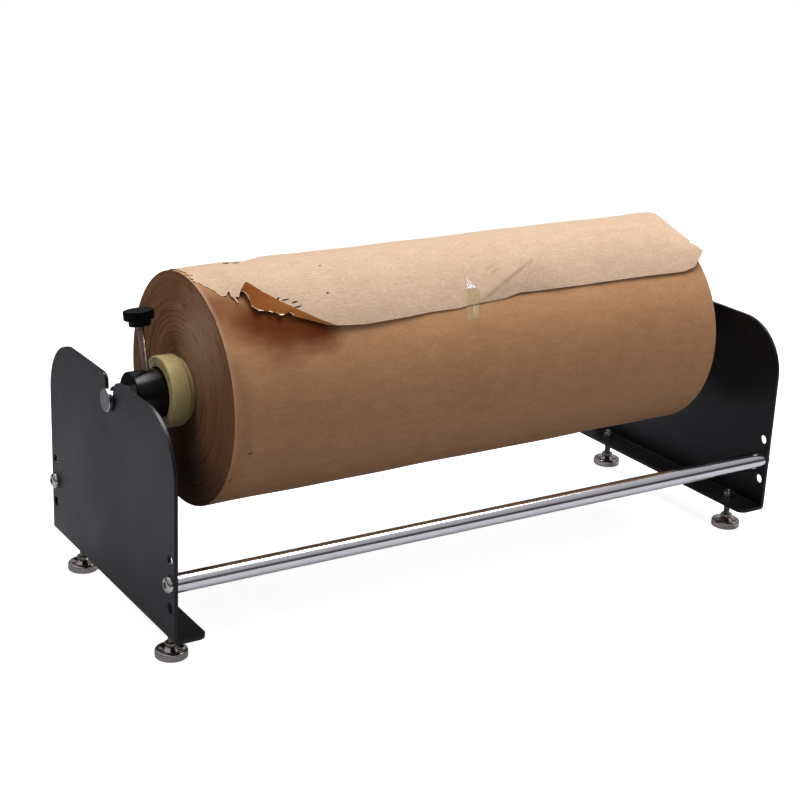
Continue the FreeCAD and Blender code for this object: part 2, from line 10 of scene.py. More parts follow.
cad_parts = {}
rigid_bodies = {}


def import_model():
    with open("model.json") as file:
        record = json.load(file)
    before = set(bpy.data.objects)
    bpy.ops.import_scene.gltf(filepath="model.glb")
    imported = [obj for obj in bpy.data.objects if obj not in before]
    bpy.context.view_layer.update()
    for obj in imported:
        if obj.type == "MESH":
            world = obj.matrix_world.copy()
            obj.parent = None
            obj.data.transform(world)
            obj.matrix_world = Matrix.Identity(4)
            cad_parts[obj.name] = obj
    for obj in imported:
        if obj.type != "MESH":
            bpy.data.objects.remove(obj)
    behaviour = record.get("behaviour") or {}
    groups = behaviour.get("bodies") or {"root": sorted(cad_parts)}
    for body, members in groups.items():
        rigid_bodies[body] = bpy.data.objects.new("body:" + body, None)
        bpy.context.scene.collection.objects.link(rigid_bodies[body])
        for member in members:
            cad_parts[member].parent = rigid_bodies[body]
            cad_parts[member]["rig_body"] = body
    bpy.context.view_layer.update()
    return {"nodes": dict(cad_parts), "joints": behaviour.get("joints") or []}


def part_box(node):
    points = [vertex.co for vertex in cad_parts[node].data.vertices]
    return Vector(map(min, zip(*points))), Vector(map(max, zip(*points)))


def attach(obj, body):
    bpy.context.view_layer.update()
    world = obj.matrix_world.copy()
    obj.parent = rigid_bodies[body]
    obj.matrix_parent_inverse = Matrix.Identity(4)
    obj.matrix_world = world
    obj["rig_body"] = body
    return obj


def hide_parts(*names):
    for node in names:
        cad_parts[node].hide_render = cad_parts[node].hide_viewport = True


# A roll of kraft paper on its black stand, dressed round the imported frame.
# X runs along the shaft, -Y is the front and +Z is up, in metres. Angles round the roll are
# in degrees from its top towards the front.

MM = 0.001

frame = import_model()
nodes = frame["nodes"]


# --- places in the frame ---

def middle(node):
    low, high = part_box(node)
    return (Vector(low) + Vector(high)) / 2


AXIS = middle("roll_shaft")
ROLL_LEFT, ROLL_RIGHT = (corner[0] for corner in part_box("paper_roll"))


def end_radius(node, x):
    """The largest distance from the roll's axis among the node's points at x."""
    points = (vertex.co for vertex in nodes[node].data.vertices)
    return max(math.hypot(p.y - AXIS.y, p.z - AXIS.z) for p in points if abs(p.x - x) < 0.1 * MM)


LEFT_RADIUS = end_radius("paper_roll", ROLL_LEFT)
RIGHT_RADIUS = end_radius("paper_roll", ROLL_RIGHT)
CORE_RADIUS = end_radius("paper_core", ROLL_LEFT)


def on_wound(place):
    """The wound paper's flat point at (x in mm, angle)."""
    return Vector((place[0] * MM, math.radians(place[1]) * LEFT_RADIUS, 0.0))


def roll_radius(x):
    share = (x - ROLL_LEFT) / (ROLL_RIGHT - ROLL_LEFT)
    return LEFT_RADIUS + (RIGHT_RADIUS - LEFT_RADIUS) * share


def on_roll(x, angle, radius):
    turn = math.radians(angle)
    return Vector((x, AXIS.y - radius * math.sin(turn), AXIS.z + radius * math.cos(turn)))


# --- meshes ---

def new_object(name, data):
    made = bpy.data.objects.new(name, data)
    bpy.context.scene.collection.objects.link(made)
    return made


def new_piece(name, points, faces, uvs, node, slot, materials):
    """A mesh piece that rides with the node's body. uvs has one pair for each face corner."""
    mesh = bpy.data.meshes.new(name)
    mesh.from_pydata(points, [], faces)
    layer = mesh.uv_layers.new(name="Flat")
    layer.data.foreach_set("uv", [value for uv in uvs for value in uv])
    mesh.polygons.foreach_set("use_smooth", [True] * len(faces))
    for material in materials:
        mesh.materials.append(material)
    piece = new_object(name, mesh)
    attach(piece, nodes[node]["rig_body"])
    return piece


def grid(rows, flat, closed=True):
    """Points, faces and face-corner uvs of a net of quads; flat(i, j) gives a point's uv."""
    count = len(rows[0])
    spans = count if closed else count - 1
    faces, uvs = [], []
    for i in range(len(rows) - 1):
        for j in range(spans):
            k = (j + 1) % count
            faces.append((i * count + j, i * count + k, (i + 1) * count + k, (i + 1) * count + j))
            uvs += [flat(i, j), flat(i, j + 1), flat(i + 1, j + 1), flat(i + 1, j)]
    return [point for row in rows for point in row], faces, uvs


def joined(nets):
    """Several nets of points, faces and uvs as one."""
    points, faces, uvs = [], [], []
    for its_points, its_faces, its_uvs in nets:
        faces += [tuple(i + len(points) for i in face) for face in its_faces]
        points += its_points
        uvs += its_uvs
    return points, faces, uvs


def thicken(piece, thickness):
    """Makes a sheet solid, with a crisp border. Its next materials go to its back and border."""
    mesh = piece.data
    at_corners = np.zeros(len(mesh.loops), int)
    mesh.loops.foreach_get("edge_index", at_corners)
    borders = np.bincount(at_corners, minlength=len(mesh.edges)) == 1
    mesh.attributes.new("sharp_edge", "BOOLEAN", "EDGE").data.foreach_set("value", borders)
    solid = piece.modifiers.new("Thickness", "SOLIDIFY")
    solid.thickness = thickness
    solid.offset = 0
    solid.material_offset = min(1, len(mesh.materials) - 1)
    solid.material_offset_rim = len(mesh.materials) - 1


def round_z(radius, turn, z):
    """A point round the Z axis; turn is in radians."""
    return Vector((radius * math.cos(turn), radius * math.sin(turn), z))


# --- materials ---

def feed(socket, value):
    """Gives a node's socket a value, or the output of another node."""
    if isinstance(value, bpy.types.NodeSocket):
        socket.id_data.links.new(value, socket)
    else:
        socket.default_value = value


def add_node(tree, kind, inputs=(), **properties):
    made = tree.nodes.new("ShaderNode" + kind)
    for name, value in properties.items():
        setattr(made, name, value)
    for key, value in dict(inputs).items():
        feed(made.inputs[key], value)
    return made


class Look:
    """A material with a Principled shader, and short ways to feed it from other nodes."""

    def __init__(self, name, **sockets):
        self.material = bpy.data.materials.new(name)
        self.material.use_nodes = True
        self.tree = self.material.node_tree
        self.shader = self.tree.nodes["Principled BSDF"]
        self.place = self.node("TexCoord").outputs["Object"]
        self.flat = self.node("UVMap", uv_map="Flat").outputs["UV"]
        self.u, self.v = self.node("SeparateXYZ", {0: self.flat}).outputs[:2]
        self.give(**sockets)

    def give(self, **sockets):
        """Feeds the shader's sockets by their names, with _ for a space."""
        for name, value in sockets.items():
            feed(self.shader.inputs[name.replace("_", " ")], value)

    def node(self, kind, inputs=(), **properties):
        return add_node(self.tree, kind, inputs, **properties)

    def math(self, operation, first, second=0.0, third=0.0):
        return self.node("Math", {0: first, 1: second, 2: third}, operation=operation).outputs[0]

    def times(self, first, second):
        return self.math("MULTIPLY", first, second)

    def stretched(self, vector, scales):
        return self.node("VectorMath", {0: vector, 1: scales}, operation="MULTIPLY").outputs[0]

    def noise(self, vector, scale, detail=2.0, roughness=0.5):
        """Noise at one scale, or at one for each axis for grain that runs one way."""
        if isinstance(scale, tuple):
            vector, scale = self.stretched(vector, scale), 1.0
        made = self.node("TexNoise", {"Vector": vector, "Scale": scale, "Detail": detail,
                                      "Roughness": roughness})
        return made.outputs["Fac"]

    def between(self, value, low, high, to_low=0.0, to_high=1.0):
        """A value's range turned into another, which it doesn't go past."""
        return self.node("MapRange", {"Value": value, "From Min": low, "From Max": high,
                                      "To Min": to_low, "To Max": to_high}).outputs["Result"]

    def blend(self, share, first, second):
        made = self.node("Mix", {0: share, 6: first, 7: second}, data_type="RGBA")
        return made.outputs[2]

    def bump(self, height, depth, under=None):
        """A Normal socket: height from 0 to 1 raises the surface by depth."""
        inputs = {"Height": height, "Distance": depth}
        if under:
            inputs["Normal"] = under
        return self.node("Bump", inputs).outputs["Normal"]

    def rounded(self, radius):
        return self.node("Bevel", {"Radius": radius}, samples=6).outputs["Normal"]

    def from_run(self, place, start, end):
        """Distance of a flat place from the straight run between two flat points."""
        run = Vector(end) - Vector(start)
        offset = self.node("VectorMath", {0: place, 1: start}, operation="SUBTRACT").outputs[0]
        reach = self.node("VectorMath", {0: offset, 1: run.normalized()}, operation="DOT_PRODUCT")
        held = self.math("MINIMUM", self.math("MAXIMUM", reach.outputs["Value"], 0.0), run.length)
        foot = self.node("VectorMath", {0: run.normalized(), 3: held}, operation="SCALE").outputs[0]
        apart = self.node("VectorMath", {0: offset, 1: foot}, operation="DISTANCE")
        return apart.outputs["Value"]

    def from_axis(self, centre, along=(0.0, 1.0, 1.0)):
        """Distance from an axis through centre; along is 0 for the direction of the axis."""
        offset = self.node("VectorMath", {0: self.place, 1: centre}, operation="SUBTRACT")
        flattened = self.stretched(offset.outputs[0], along)
        return self.node("VectorMath", {0: flattened}, operation="LENGTH").outputs["Value"]


def powder_coat():
    """Satin black with the fine dimples of a baked powder."""
    look = Look("powder_coat", Specular_IOR_Level=0.45, Specular_Tint=(0.90, 0.92, 1.0, 1))
    dimples = look.noise(look.place, 900.0)
    cloud = look.noise(look.place, 18.0, 3.0)
    shades = (0.0060, 0.0058, 0.0076, 1), (0.0100, 0.0097, 0.0124, 1)
    look.give(Base_Color=look.blend(cloud, *shades),
              Roughness=look.between(cloud, 0.3, 0.7, 0.36, 0.44),
              Normal=look.bump(dimples, 0.06 * MM, look.rounded(0.5 * MM)))
    return look.material


# A darker steel that paints shade onto the shaft's end faces.
SHADED_END_STEEL = (0.17, 0.16, 0.165, 1)


def drawn_metal(name, colour, roughness, centre, lines=0.012 * MM, rounding=0.3 * MM, ends=None):
    """Metal with lines along X on its side and rings on its end faces, as turned and drawn.

    ends is the distance from the centre past which the end faces get a darker, painted shade.
    """
    look = Look(name, Metallic=1.0)
    side_lines = look.noise(look.place, (40.0, 2200.0, 2200.0), 3.0)
    rings = look.noise(look.from_axis(centre), (3000.0, 1.0, 1.0))
    grain = look.times(side_lines, rings)
    smear = look.noise(look.place, 30.0, 3.0)
    clean = look.blend(smear, tuple(0.86 * c for c in colour) + (1,), colour + (1,))
    if ends:
        out = look.from_axis(centre, along=(1.0, 0.0, 0.0))
        clean = look.blend(look.between(out, ends, ends + 0.05 * MM), clean, SHADED_END_STEEL)
    look.give(Base_Color=clean,
              Roughness=look.between(smear, 0.3, 0.7, 0.85 * roughness, 1.2 * roughness),
              Normal=look.bump(grain, lines, look.rounded(rounding)))
    return look.material


def plain_steel(name, colour, roughness, stain=0.25):
    """Plated steel with fine pits and faint stains."""
    look = Look(name, Metallic=1.0)
    pits = look.noise(look.place, 2500.0)
    stains = look.noise(look.place, 220.0, 3.0)
    dull = tuple((1 - stain) * c for c in colour)
    look.give(Base_Color=look.blend(stains, dull + (1,), colour + (1,)),
              Roughness=look.between(stains, 0.3, 0.7, 0.8 * roughness, 1.3 * roughness),
              Normal=look.bump(pits, 0.01 * MM, look.rounded(0.25 * MM)))
    return look.material


def black_collar():
    """Black oxide steel with turned rings on its ends and fine lines round its side."""
    look = Look("collar_black", Specular_IOR_Level=0.32)
    side_rings = look.noise(look.place, (3500.0, 1.0, 1.0))
    rings = look.noise(look.from_axis(AXIS), (3000.0, 1.0, 1.0))
    cloud = look.noise(look.place, 60.0, 3.0)
    grain = look.times(side_rings, rings)
    look.give(Base_Color=look.blend(cloud, (0.003, 0.003, 0.004, 1), (0.006, 0.006, 0.008, 1)),
              Roughness=look.between(cloud, 0.3, 0.7, 0.20, 0.28),
              Normal=look.bump(grain, 0.012 * MM, look.rounded(0.4 * MM)))
    return look.material


def black_plastic():
    """Moulded black plastic with a fine spark-eroded grain."""
    look = Look("knob_black", Specular_IOR_Level=0.16)
    grain = look.noise(look.place, 1800.0)
    dust = look.noise(look.place, 350.0, 4.0)
    look.give(Base_Color=look.blend(dust, (0.003, 0.003, 0.003, 1), (0.008, 0.0075, 0.007, 1)),
              Roughness=look.between(grain, 0.3, 0.7, 0.32, 0.46),
              Normal=look.bump(grain, 0.02 * MM, look.rounded(0.3 * MM)))
    return look.material


def cream_plastic():
    """Turned cream nylon: a little light goes in, and fine rings run round it."""
    look = Look("plug_cream", Subsurface_Weight=0.12, Subsurface_Scale=2 * MM,
                Subsurface_Radius=(1.0, 0.8, 0.45), Roughness=0.42)
    rings = look.noise(look.from_axis(AXIS), (1600.0, 1.0, 1.0))
    side_rings = look.noise(look.place, (1600.0, 1.0, 1.0))
    cloud = look.noise(look.place, 90.0, 4.0)
    specks = look.between(look.noise(look.place, 700.0), 0.66, 0.76, 0.0, 0.35)
    stains = look.between(look.noise(look.place, 45.0, 3.0), 0.48, 0.68, 0.0, 0.55)
    clean = look.blend(cloud, (0.58, 0.50, 0.24, 1), (0.68, 0.60, 0.32, 1))
    stained = look.blend(stains, clean, (0.40, 0.275, 0.105, 1))
    grain = look.times(rings, side_rings)
    look.give(Base_Color=look.blend(specks, stained, (0.28, 0.22, 0.11, 1)),
              Normal=look.bump(grain, 0.03 * MM, look.rounded(0.4 * MM)))
    return look.material


def core_board():
    """Grey-brown tube board with streaks along it."""
    look = Look("core_board", Roughness=0.85)
    winding = look.noise(look.place, (220.0, 900.0, 900.0), 3.0)
    look.give(Base_Color=look.blend(winding, (0.20, 0.135, 0.08, 1), (0.32, 0.23, 0.145, 1)),
              Normal=look.bump(winding, 0.08 * MM))
    return look.material


# Pairs of shades that the paper wanders between: wound; the loose sheet, made paler to paint in
# the light from above; and its back and folded corner, made much darker to paint in their shade.
WOUND_KRAFT = ((0.36, 0.212, 0.115, 1), (0.43, 0.264, 0.150, 1))
LIT_LOOSE_KRAFT = ((0.42, 0.318, 0.236, 1), (0.485, 0.378, 0.287, 1))
SHADED_UNDER_KRAFT = ((0.12, 0.032, 0.004, 1), (0.19, 0.056, 0.008, 1))
LIT_KRAFT = (0.36, 0.165, 0.050, 1)
NICK_PAINTED_SHADE = (0.03, 0.014, 0.007, 1)
CREASE_PAINTED_SHADE = (0.16, 0.085, 0.04, 1)
# Painted shadow that the torn corner casts on the wound paper below it, as a run between two places
# (x in mm, angle): how far from it in mm the shade is full and where it ends, its depth and its shade.
CORNER_SHADOW_ZONES = ((((-238, 32.0), (-195, 50.0)), 14, 44, 0.80, (0.14, 0.052, 0.018, 1)),
              (((-212, 43.5), (-160, 51.0)), 13, 33, 1.00, (0.105, 0.026, 0.003, 1)))
# Nicks in the wound paper's left rim, painted dark as the shade inside them, as runs between places (x
# in mm, angle).
NICKS = (((-232.3, 106.3), (-229.5, 105.5)), ((-244.3, 122.7), (-242.0, 120.8)))
# The loose sheet is laid flat as if it were on a roll of this radius, in mm.
FLAT_RADIUS = 98.0
# Where along x the light starts and stops to come through the torn corner.
LIT_ALONG = (-208 * MM, -170 * MM)
# Where round the roll, as a flat length from the top, the loose sheet's shade turns into the roll's,
# so that its painted light fades out at the rear.
REAR_ALONG = (-180 * MM, -80 * MM)
# The crease from the tape, and with it two wrinkles, as (x in mm, angle) of both ends and the depth of
# their painted shade.
CREASE = ((-5.3, 48.8), (66.4, 29.0))
CREASE_SHADE_MARKS = ((*CREASE, 0.46), ((18, 30.0), (34, 27.0), 0.28), ((21, 32.5), (32, 30.8), 0.22))
# The dashes that are cut in honeycomb paper: their length, their spacing along x, and their rows'.
SLIT_LENGTH = 6 * MM
SLIT_STEP = 9 * MM
SLIT_ROW = 3.5 * MM


def slit_pattern(look):
    """1 in the cut dashes of honeycomb paper, which run along the roll in staggered rows."""
    wander = look.noise(look.flat, 25.0)
    rows = look.math("ADD", look.math("DIVIDE", look.v, SLIT_ROW), look.times(wander, 1.2))
    row = look.math("FLOOR", rows)
    stagger = look.times(look.math("MODULO", row, 2.0), 0.5)
    along = look.math("ADD", look.math("DIVIDE", look.u, SLIT_STEP), stagger)
    from_row = look.math("ABSOLUTE", look.math("SUBTRACT", look.math("FRACT", rows), 0.5))
    from_middle = look.math("ABSOLUTE", look.math("SUBTRACT", look.math("FRACT", along), 0.5))
    half = 0.5 * SLIT_LENGTH / SLIT_STEP
    narrow = look.between(from_row, 0.05, 0.13, 1.0, 0.0)
    within = look.between(from_middle, half - 0.03, half + 0.03, 1.0, 0.0)
    patchy = look.between(look.noise(look.flat, 60.0), 0.38, 0.62, 0.25, 1.0)
    return look.times(look.times(narrow, within), patchy)


def painted_shade_and_rim_light(look, paper):
    """The wound paper with painted shadow below the torn corner, a painted highlight along its left
    rim, and its nicks painted dark with shade.
    """
    drift = look.times(look.noise(look.flat, (45.0, 90.0, 1.0), 4.0), 16 * MM)
    # Painted shadow of the torn corner, darkest along its edge.
    for run, core, reach, depth, shade in CORNER_SHADOW_ZONES:
        apart = look.math("ADD", look.from_run(look.flat, *map(on_wound, run)), drift)
        paper = look.blend(look.between(apart, core * MM, reach * MM, depth, 0.0), paper, shade)
    # A painted highlight along the left rim, in the loose sheet's lit shade.
    near_rim = look.between(look.u, ROLL_LEFT, ROLL_LEFT + 4 * MM, 0.45, 0.0)
    paper = look.blend(near_rim, paper, LIT_LOOSE_KRAFT[0])
    # Nicks painted dark, as the shade inside them.
    for nick in NICKS:
        from_nick = look.from_run(look.flat, *map(on_wound, nick))
        paper = look.blend(look.between(from_nick, 0.3 * MM, 0.9 * MM, 0.9, 0.0), paper, NICK_PAINTED_SHADE)
    return paper


def on_sheet(place):
    """The loose sheet's flat point at (x in mm, angle)."""
    return Vector((place[0] * MM, math.radians(place[1]) * FLAT_RADIUS * MM, 0.0))


def crease_shade_and_rear(look, paper):
    """The loose sheet with painted shade in its crease and wrinkles, and like the wound paper at the
    rear, where its painted light fades out.
    """
    paper = look.blend(look.between(look.v, *REAR_ALONG, 1.0, 0.0), paper, WOUND_KRAFT[1])
    patchy = look.between(look.noise(look.flat, 70.0), 0.38, 0.6, 0.3, 1.0)
    # Painted shade along the crease and wrinkles.
    for start, end, depth in CREASE_SHADE_MARKS:
        from_crease = look.from_run(look.flat, on_sheet(start), on_sheet(end))
        dark = look.times(look.between(from_crease, 0.2 * MM, 2.4 * MM, depth, 0.0), patchy)
        paper = look.blend(dark, paper, CREASE_PAINTED_SHADE)
    return paper


def lit_through(look, paper):
    """The torn corner's back, paler where light comes through it near the fold's right end."""
    return look.blend(look.between(look.u, *LIT_ALONG, 0.0, 0.8), paper, LIT_KRAFT)


def kraft(name, shades, slit_shade=0.10, tension=1.0, sheen=0.2, fleck=0.26, marks=None):
    """Brown kraft: fibres, faint flocks, staggered slits and bands where it was wound tight."""
    look = Look(name, Specular_IOR_Level=0.07, Sheen_Weight=sheen, Sheen_Roughness=0.55,
                Sheen_Tint=(1.0, 0.93, 0.84, 1))
    fibres = look.noise(look.flat, (900.0, 1900.0, 1.0), 4.0, 0.65)
    flocks = look.noise(look.flat, (60.0, 110.0, 1.0), 5.0, 0.7)
    bands = look.noise(look.flat, (14.0, 5.0, 1.0), 4.0, 0.6)
    slits = slit_pattern(look)
    mottle = look.noise(look.flat, 330.0, 3.0, 0.6)
    base = look.blend(look.between(flocks, 0.3, 0.7), *shades)
    mottled = look.blend(look.between(mottle, 0.3, 0.7, fleck, 0.0), base, (0.22, 0.12, 0.06, 1))
    streaked = look.blend(look.between(bands, 0.35, 0.65, 0.16 * tension, 0.0), mottled,
                          (0.26, 0.135, 0.06, 1))
    grained = look.blend(look.between(fibres, 0.25, 0.75, 0.10, 0.0), streaked, (0.25, 0.14, 0.07, 1))
    if marks:
        grained = marks(look, grained)
    # The cut slits are darkened with painted shade.
    shade = look.times(slits, slit_shade)
    waves = look.bump(bands, 0.6 * MM * tension)
    cuts = look.bump(look.math("SUBTRACT", 1.0, slits), 0.05 * MM, waves)
    look.give(Base_Color=look.blend(shade, grained, (0.12, 0.062, 0.03, 1)),
              Roughness=look.between(fibres, 0.3, 0.7, 0.62, 0.8),
              Normal=look.bump(fibres, 0.03 * MM, cuts))
    return look.material


# Places on the cut ends, as (y, z) from the axis in mm, with a painted highlight up front and a painted
# shade low down: how far round them the shade is full and where it ends, its depth and its shade.
END_LIGHT_AND_SHADE = (((-33, 50), 12, 52, 0.42, (0.66, 0.50, 0.375, 1)),
               ((-12, -64), 8, 52, 0.80, (0.030, 0.015, 0.009, 1)))


def roll_end_paper():
    """The cut ends of the layers: close rings that wander in shade, with a painted highlight and a
    painted shade laid over them.
    """
    look = Look("roll_end_paper", Roughness=0.9, Specular_IOR_Level=0.15)
    radius = look.from_axis(AXIS)
    drift = look.noise(look.place, 24.0, 3.0)
    ring_place = look.math("ADD", look.times(radius, 1000.0), look.times(drift, 2.0))
    outwards = look.node("CombineXYZ", {0: ring_place}).outputs[0]
    fine = look.noise(outwards, 1.1, 3.0, 0.7)
    coarse = look.noise(outwards, 0.16)
    fuzz = look.noise(look.place, 1500.0, 3.0)
    rings = look.blend(look.between(fine, 0.35, 0.65), (0.22, 0.108, 0.052, 1), (0.43, 0.248, 0.142, 1))
    grouped = look.blend(look.between(coarse, 0.4, 0.62, 0.30, 0.0), rings, (0.15, 0.070, 0.034, 1))
    # Painted highlight on the upper front, painted shade low down.
    for (y, z), core, reach, depth, shade in END_LIGHT_AND_SHADE:
        apart = look.from_axis(AXIS + Vector((0.0, y, z)) * MM)
        share = look.between(apart, core * MM, reach * MM, depth, 0.0)
        grouped = look.blend(share, grouped, shade)
    speckle = look.between(fuzz, 0.3, 0.7, 0.12, 0.0)
    look.give(Base_Color=look.blend(speckle, grouped, (0.10, 0.06, 0.03, 1)),
              Normal=look.bump(fuzz, 0.05 * MM, look.bump(fine, 0.2 * MM)))
    return look.material


def torn_fibre():
    """The pale, fluffy middle of the paper that shows where it is torn."""
    look = Look("torn_fibre", Roughness=0.95, Sheen_Weight=0.5, Specular_IOR_Level=0.1)
    fluff = look.noise(look.place, 1600.0, 4.0, 0.7)
    look.give(Base_Color=look.blend(fluff, (0.55, 0.39, 0.25, 1), (0.86, 0.72, 0.56, 1)),
              Normal=look.bump(fluff, 0.15 * MM))
    return look.material


# Lengths along the tape from its front end: its own, and where it leaves the roll, meets the sheet
# and comes up again, where its painted glint starts. Its loose end starts on a slope across its width.
TAPE_LENGTH = 52.2 * MM
TAPE_LEAVES_ROLL = (13 * MM, 15 * MM)
TAPE_MEETS_SHEET = (25 * MM, 27 * MM)
TAPE_RISES = (41 * MM, 42 * MM)
TAPE_SLOPE = 0.7


def clear_tape():
    """Clear film: yellow where it is stuck down, with a painted white glint where its end has come up.
    """
    look = Look("clear_tape", Coat_Weight=0.5, Coat_Roughness=0.1, IOR=1.48)
    up = look.v
    frayed = look.times(look.noise(look.flat, 900.0, 3.0, 0.7), 5 * MM)
    from_end = look.math("SUBTRACT", TAPE_LENGTH, up)
    over_slope = look.math("SUBTRACT", from_end, look.times(look.u, TAPE_SLOPE))
    loose_end = look.between(look.math("ADD", over_slope, frayed), 2.2 * MM, 2.8 * MM)
    # A painted white glint on the crumpled end, broken into speckles.
    glints = look.between(look.noise(look.flat, 620.0, 3.0, 0.7), 0.46, 0.52, 0.1, 1.0)
    painted_glint = look.times(look.times(loose_end, glints), look.between(up, *TAPE_RISES))
    streaks = look.noise(look.flat, (900.0, 60.0, 1.0))
    off_roll = look.between(up, *TAPE_LEAVES_ROLL)
    over_gap = look.times(off_roll, look.between(up, *TAPE_MEETS_SHEET, 1.0, 0.0))
    bridged = look.times(look.between(streaks, 0.45, 0.60, 0.0, 0.8), over_gap)
    stuck = look.blend(bridged, (0.50, 0.40, 0.17, 1), (0.78, 0.70, 0.58, 1))
    thin = look.between(up, *TAPE_LEAVES_ROLL, 0.04, 0.12)
    film = look.math("MAXIMUM", look.times(thin, loose_end), look.times(bridged, 0.55))
    look.give(Base_Color=look.blend(painted_glint, stuck, (0.76, 0.73, 0.80, 1)),
              Alpha=look.math("MAXIMUM", film, painted_glint),
              Roughness=look.between(streaks, 0.3, 0.7, 0.15, 0.3),
              Normal=look.bump(streaks, 0.12 * MM))
    return look.material


# --- what carries on from the frame ---

def paint(material, stem, places=()):
    """Gives a material to the node with this name, or to its like at each of the places."""
    for name in [f"{stem}_{place}" for place in places] or [stem]:
        mesh = nodes[name].data
        mesh.materials.clear()
        mesh.materials.append(material)


SIDES = ("left", "right")
ENDS = ("front", "rear")
CORNERS = [f"{end}_{side}" for end in ENDS for side in SIDES]

CHROME = (0.80, 0.81, 0.83)
SHAFT_STEEL = (0.62, 0.62, 0.64)
STEEL = (0.66, 0.65, 0.63)
FOOT_STEEL = (0.70, 0.65, 0.63)
# Just inside the shaft's end faces, from its middle.
SHAFT_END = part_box("roll_shaft")[1][0] - AXIS.x - 0.1 * MM

kraft_paper = kraft("kraft_paper", WOUND_KRAFT, slit_shade=0.06, sheen=0.06, marks=painted_shade_and_rim_light)
# The loose sheet is a paler copy of the paper with painted light; its back and folded corner are a
# darker copy with painted shade.
lit_loose_paper = kraft("kraft_paper_loose_lit", LIT_LOOSE_KRAFT, slit_shade=0.14, tension=0.4, marks=crease_shade_and_rear)
shaded_under_paper = kraft("kraft_paper_under_shaded", SHADED_UNDER_KRAFT, tension=0.1, sheen=0.0, fleck=0.05,
                    marks=lit_through)
end_paper = roll_end_paper()
torn_paper = torn_fibre()

paint(powder_coat(), "side_plate", SIDES)
for end in ENDS:
    rod = f"{end}_tie_rod"
    paint(drawn_metal(f"chrome_{end}", CHROME, 0.14, middle(rod)), rod)
paint(drawn_metal("ground_shaft", SHAFT_STEEL, 0.22, AXIS, lines=0.03 * MM, ends=SHAFT_END),
      "roll_shaft")
zinc = plain_steel("zinc_steel", STEEL, 0.24)
paint(zinc, "rod_screw", CORNERS)
paint(zinc, "foot_nut", CORNERS)
paint(plain_steel("foot_steel", FOOT_STEEL, 0.14, stain=0.4), "foot_pad", CORNERS)
paint(black_collar(), "lock_collar", SIDES)
paint(black_plastic(), "thumb_screw_knob", SIDES)
paint(cream_plastic(), "core_plug", SIDES)
paint(core_board(), "paper_core")


# --- the wound roll ---

ROUND_STEPS = 288
RING_STEP = 2.4 * MM
RING_GROOVE = 0.04 * MM
RIM_CHAMFER = 0.7 * MM
# How uneven the left rim is in mm, and how deep and how often it is nicked.
RIM_ROUGHNESS = 0.12
RIM_NICK = 0.9 * MM
NICK_CHANCE = 0.04
BORE_RADIUS = CORE_RADIUS + 0.05 * MM
BORE_DEPTH = 8 * MM
# Spacing of the rings along the roll, and how far from its left end they start.
SURFACE_STEP = 12 * MM
FIRST_STEP = 18 * MM
LAYER = 0.35 * MM
EDGE_WIDTH = 0.7 * MM
# Material indices of the wound paper.
SURFACE, CUT_END = 0, 1
# The last layer's left edge, as (angle, mm from the roll's left end).
LAYER_EDGE = ((-180, 2.0), (-110, 5.0), (-20, 5.5), (20, 1.2), (58, 1.0), (65, 3.1), (91, 13.1),
              (104, 16.1), (108, 15.0), (112, 1.6), (125, 1.0), (180, 2.0))
# Waves of the paper, as their height in mm, how many go round and how fast they turn along x, and
# how many mm it lies inside the CAD roll.
PAPER_WAVES = ((0.25, 2, 31), (0.15, 1, -70))
PAPER_INSIDE = 0.3


def paper_radius(x, angle):
    """The wound paper's own surface, which is a little wavy."""
    turn = math.radians(angle)
    wave = sum(height * math.sin(count * turn + twist * x) for height, count, twist in PAPER_WAVES)
    return roll_radius(x) + (wave - PAPER_INSIDE) * MM


def ring_waves(rng):
    """A ring group's own offset along the shaft, which changes slowly round the roll."""
    depth = rng.uniform(0.05, 0.30) * MM
    swing = rng.uniform(0.0, 0.2) * MM
    turns = rng.choice((1, 2, 3))
    phase = rng.uniform(0, math.tau)
    return lambda angle: depth + swing * math.sin(math.radians(angle) * turns + phase)


def layer_edge(angle):
    """X of the left edge of the roll's last layer."""
    return ROLL_LEFT + float(np.interp((angle + 180) % 360 - 180, *zip(*LAYER_EDGE))) * MM


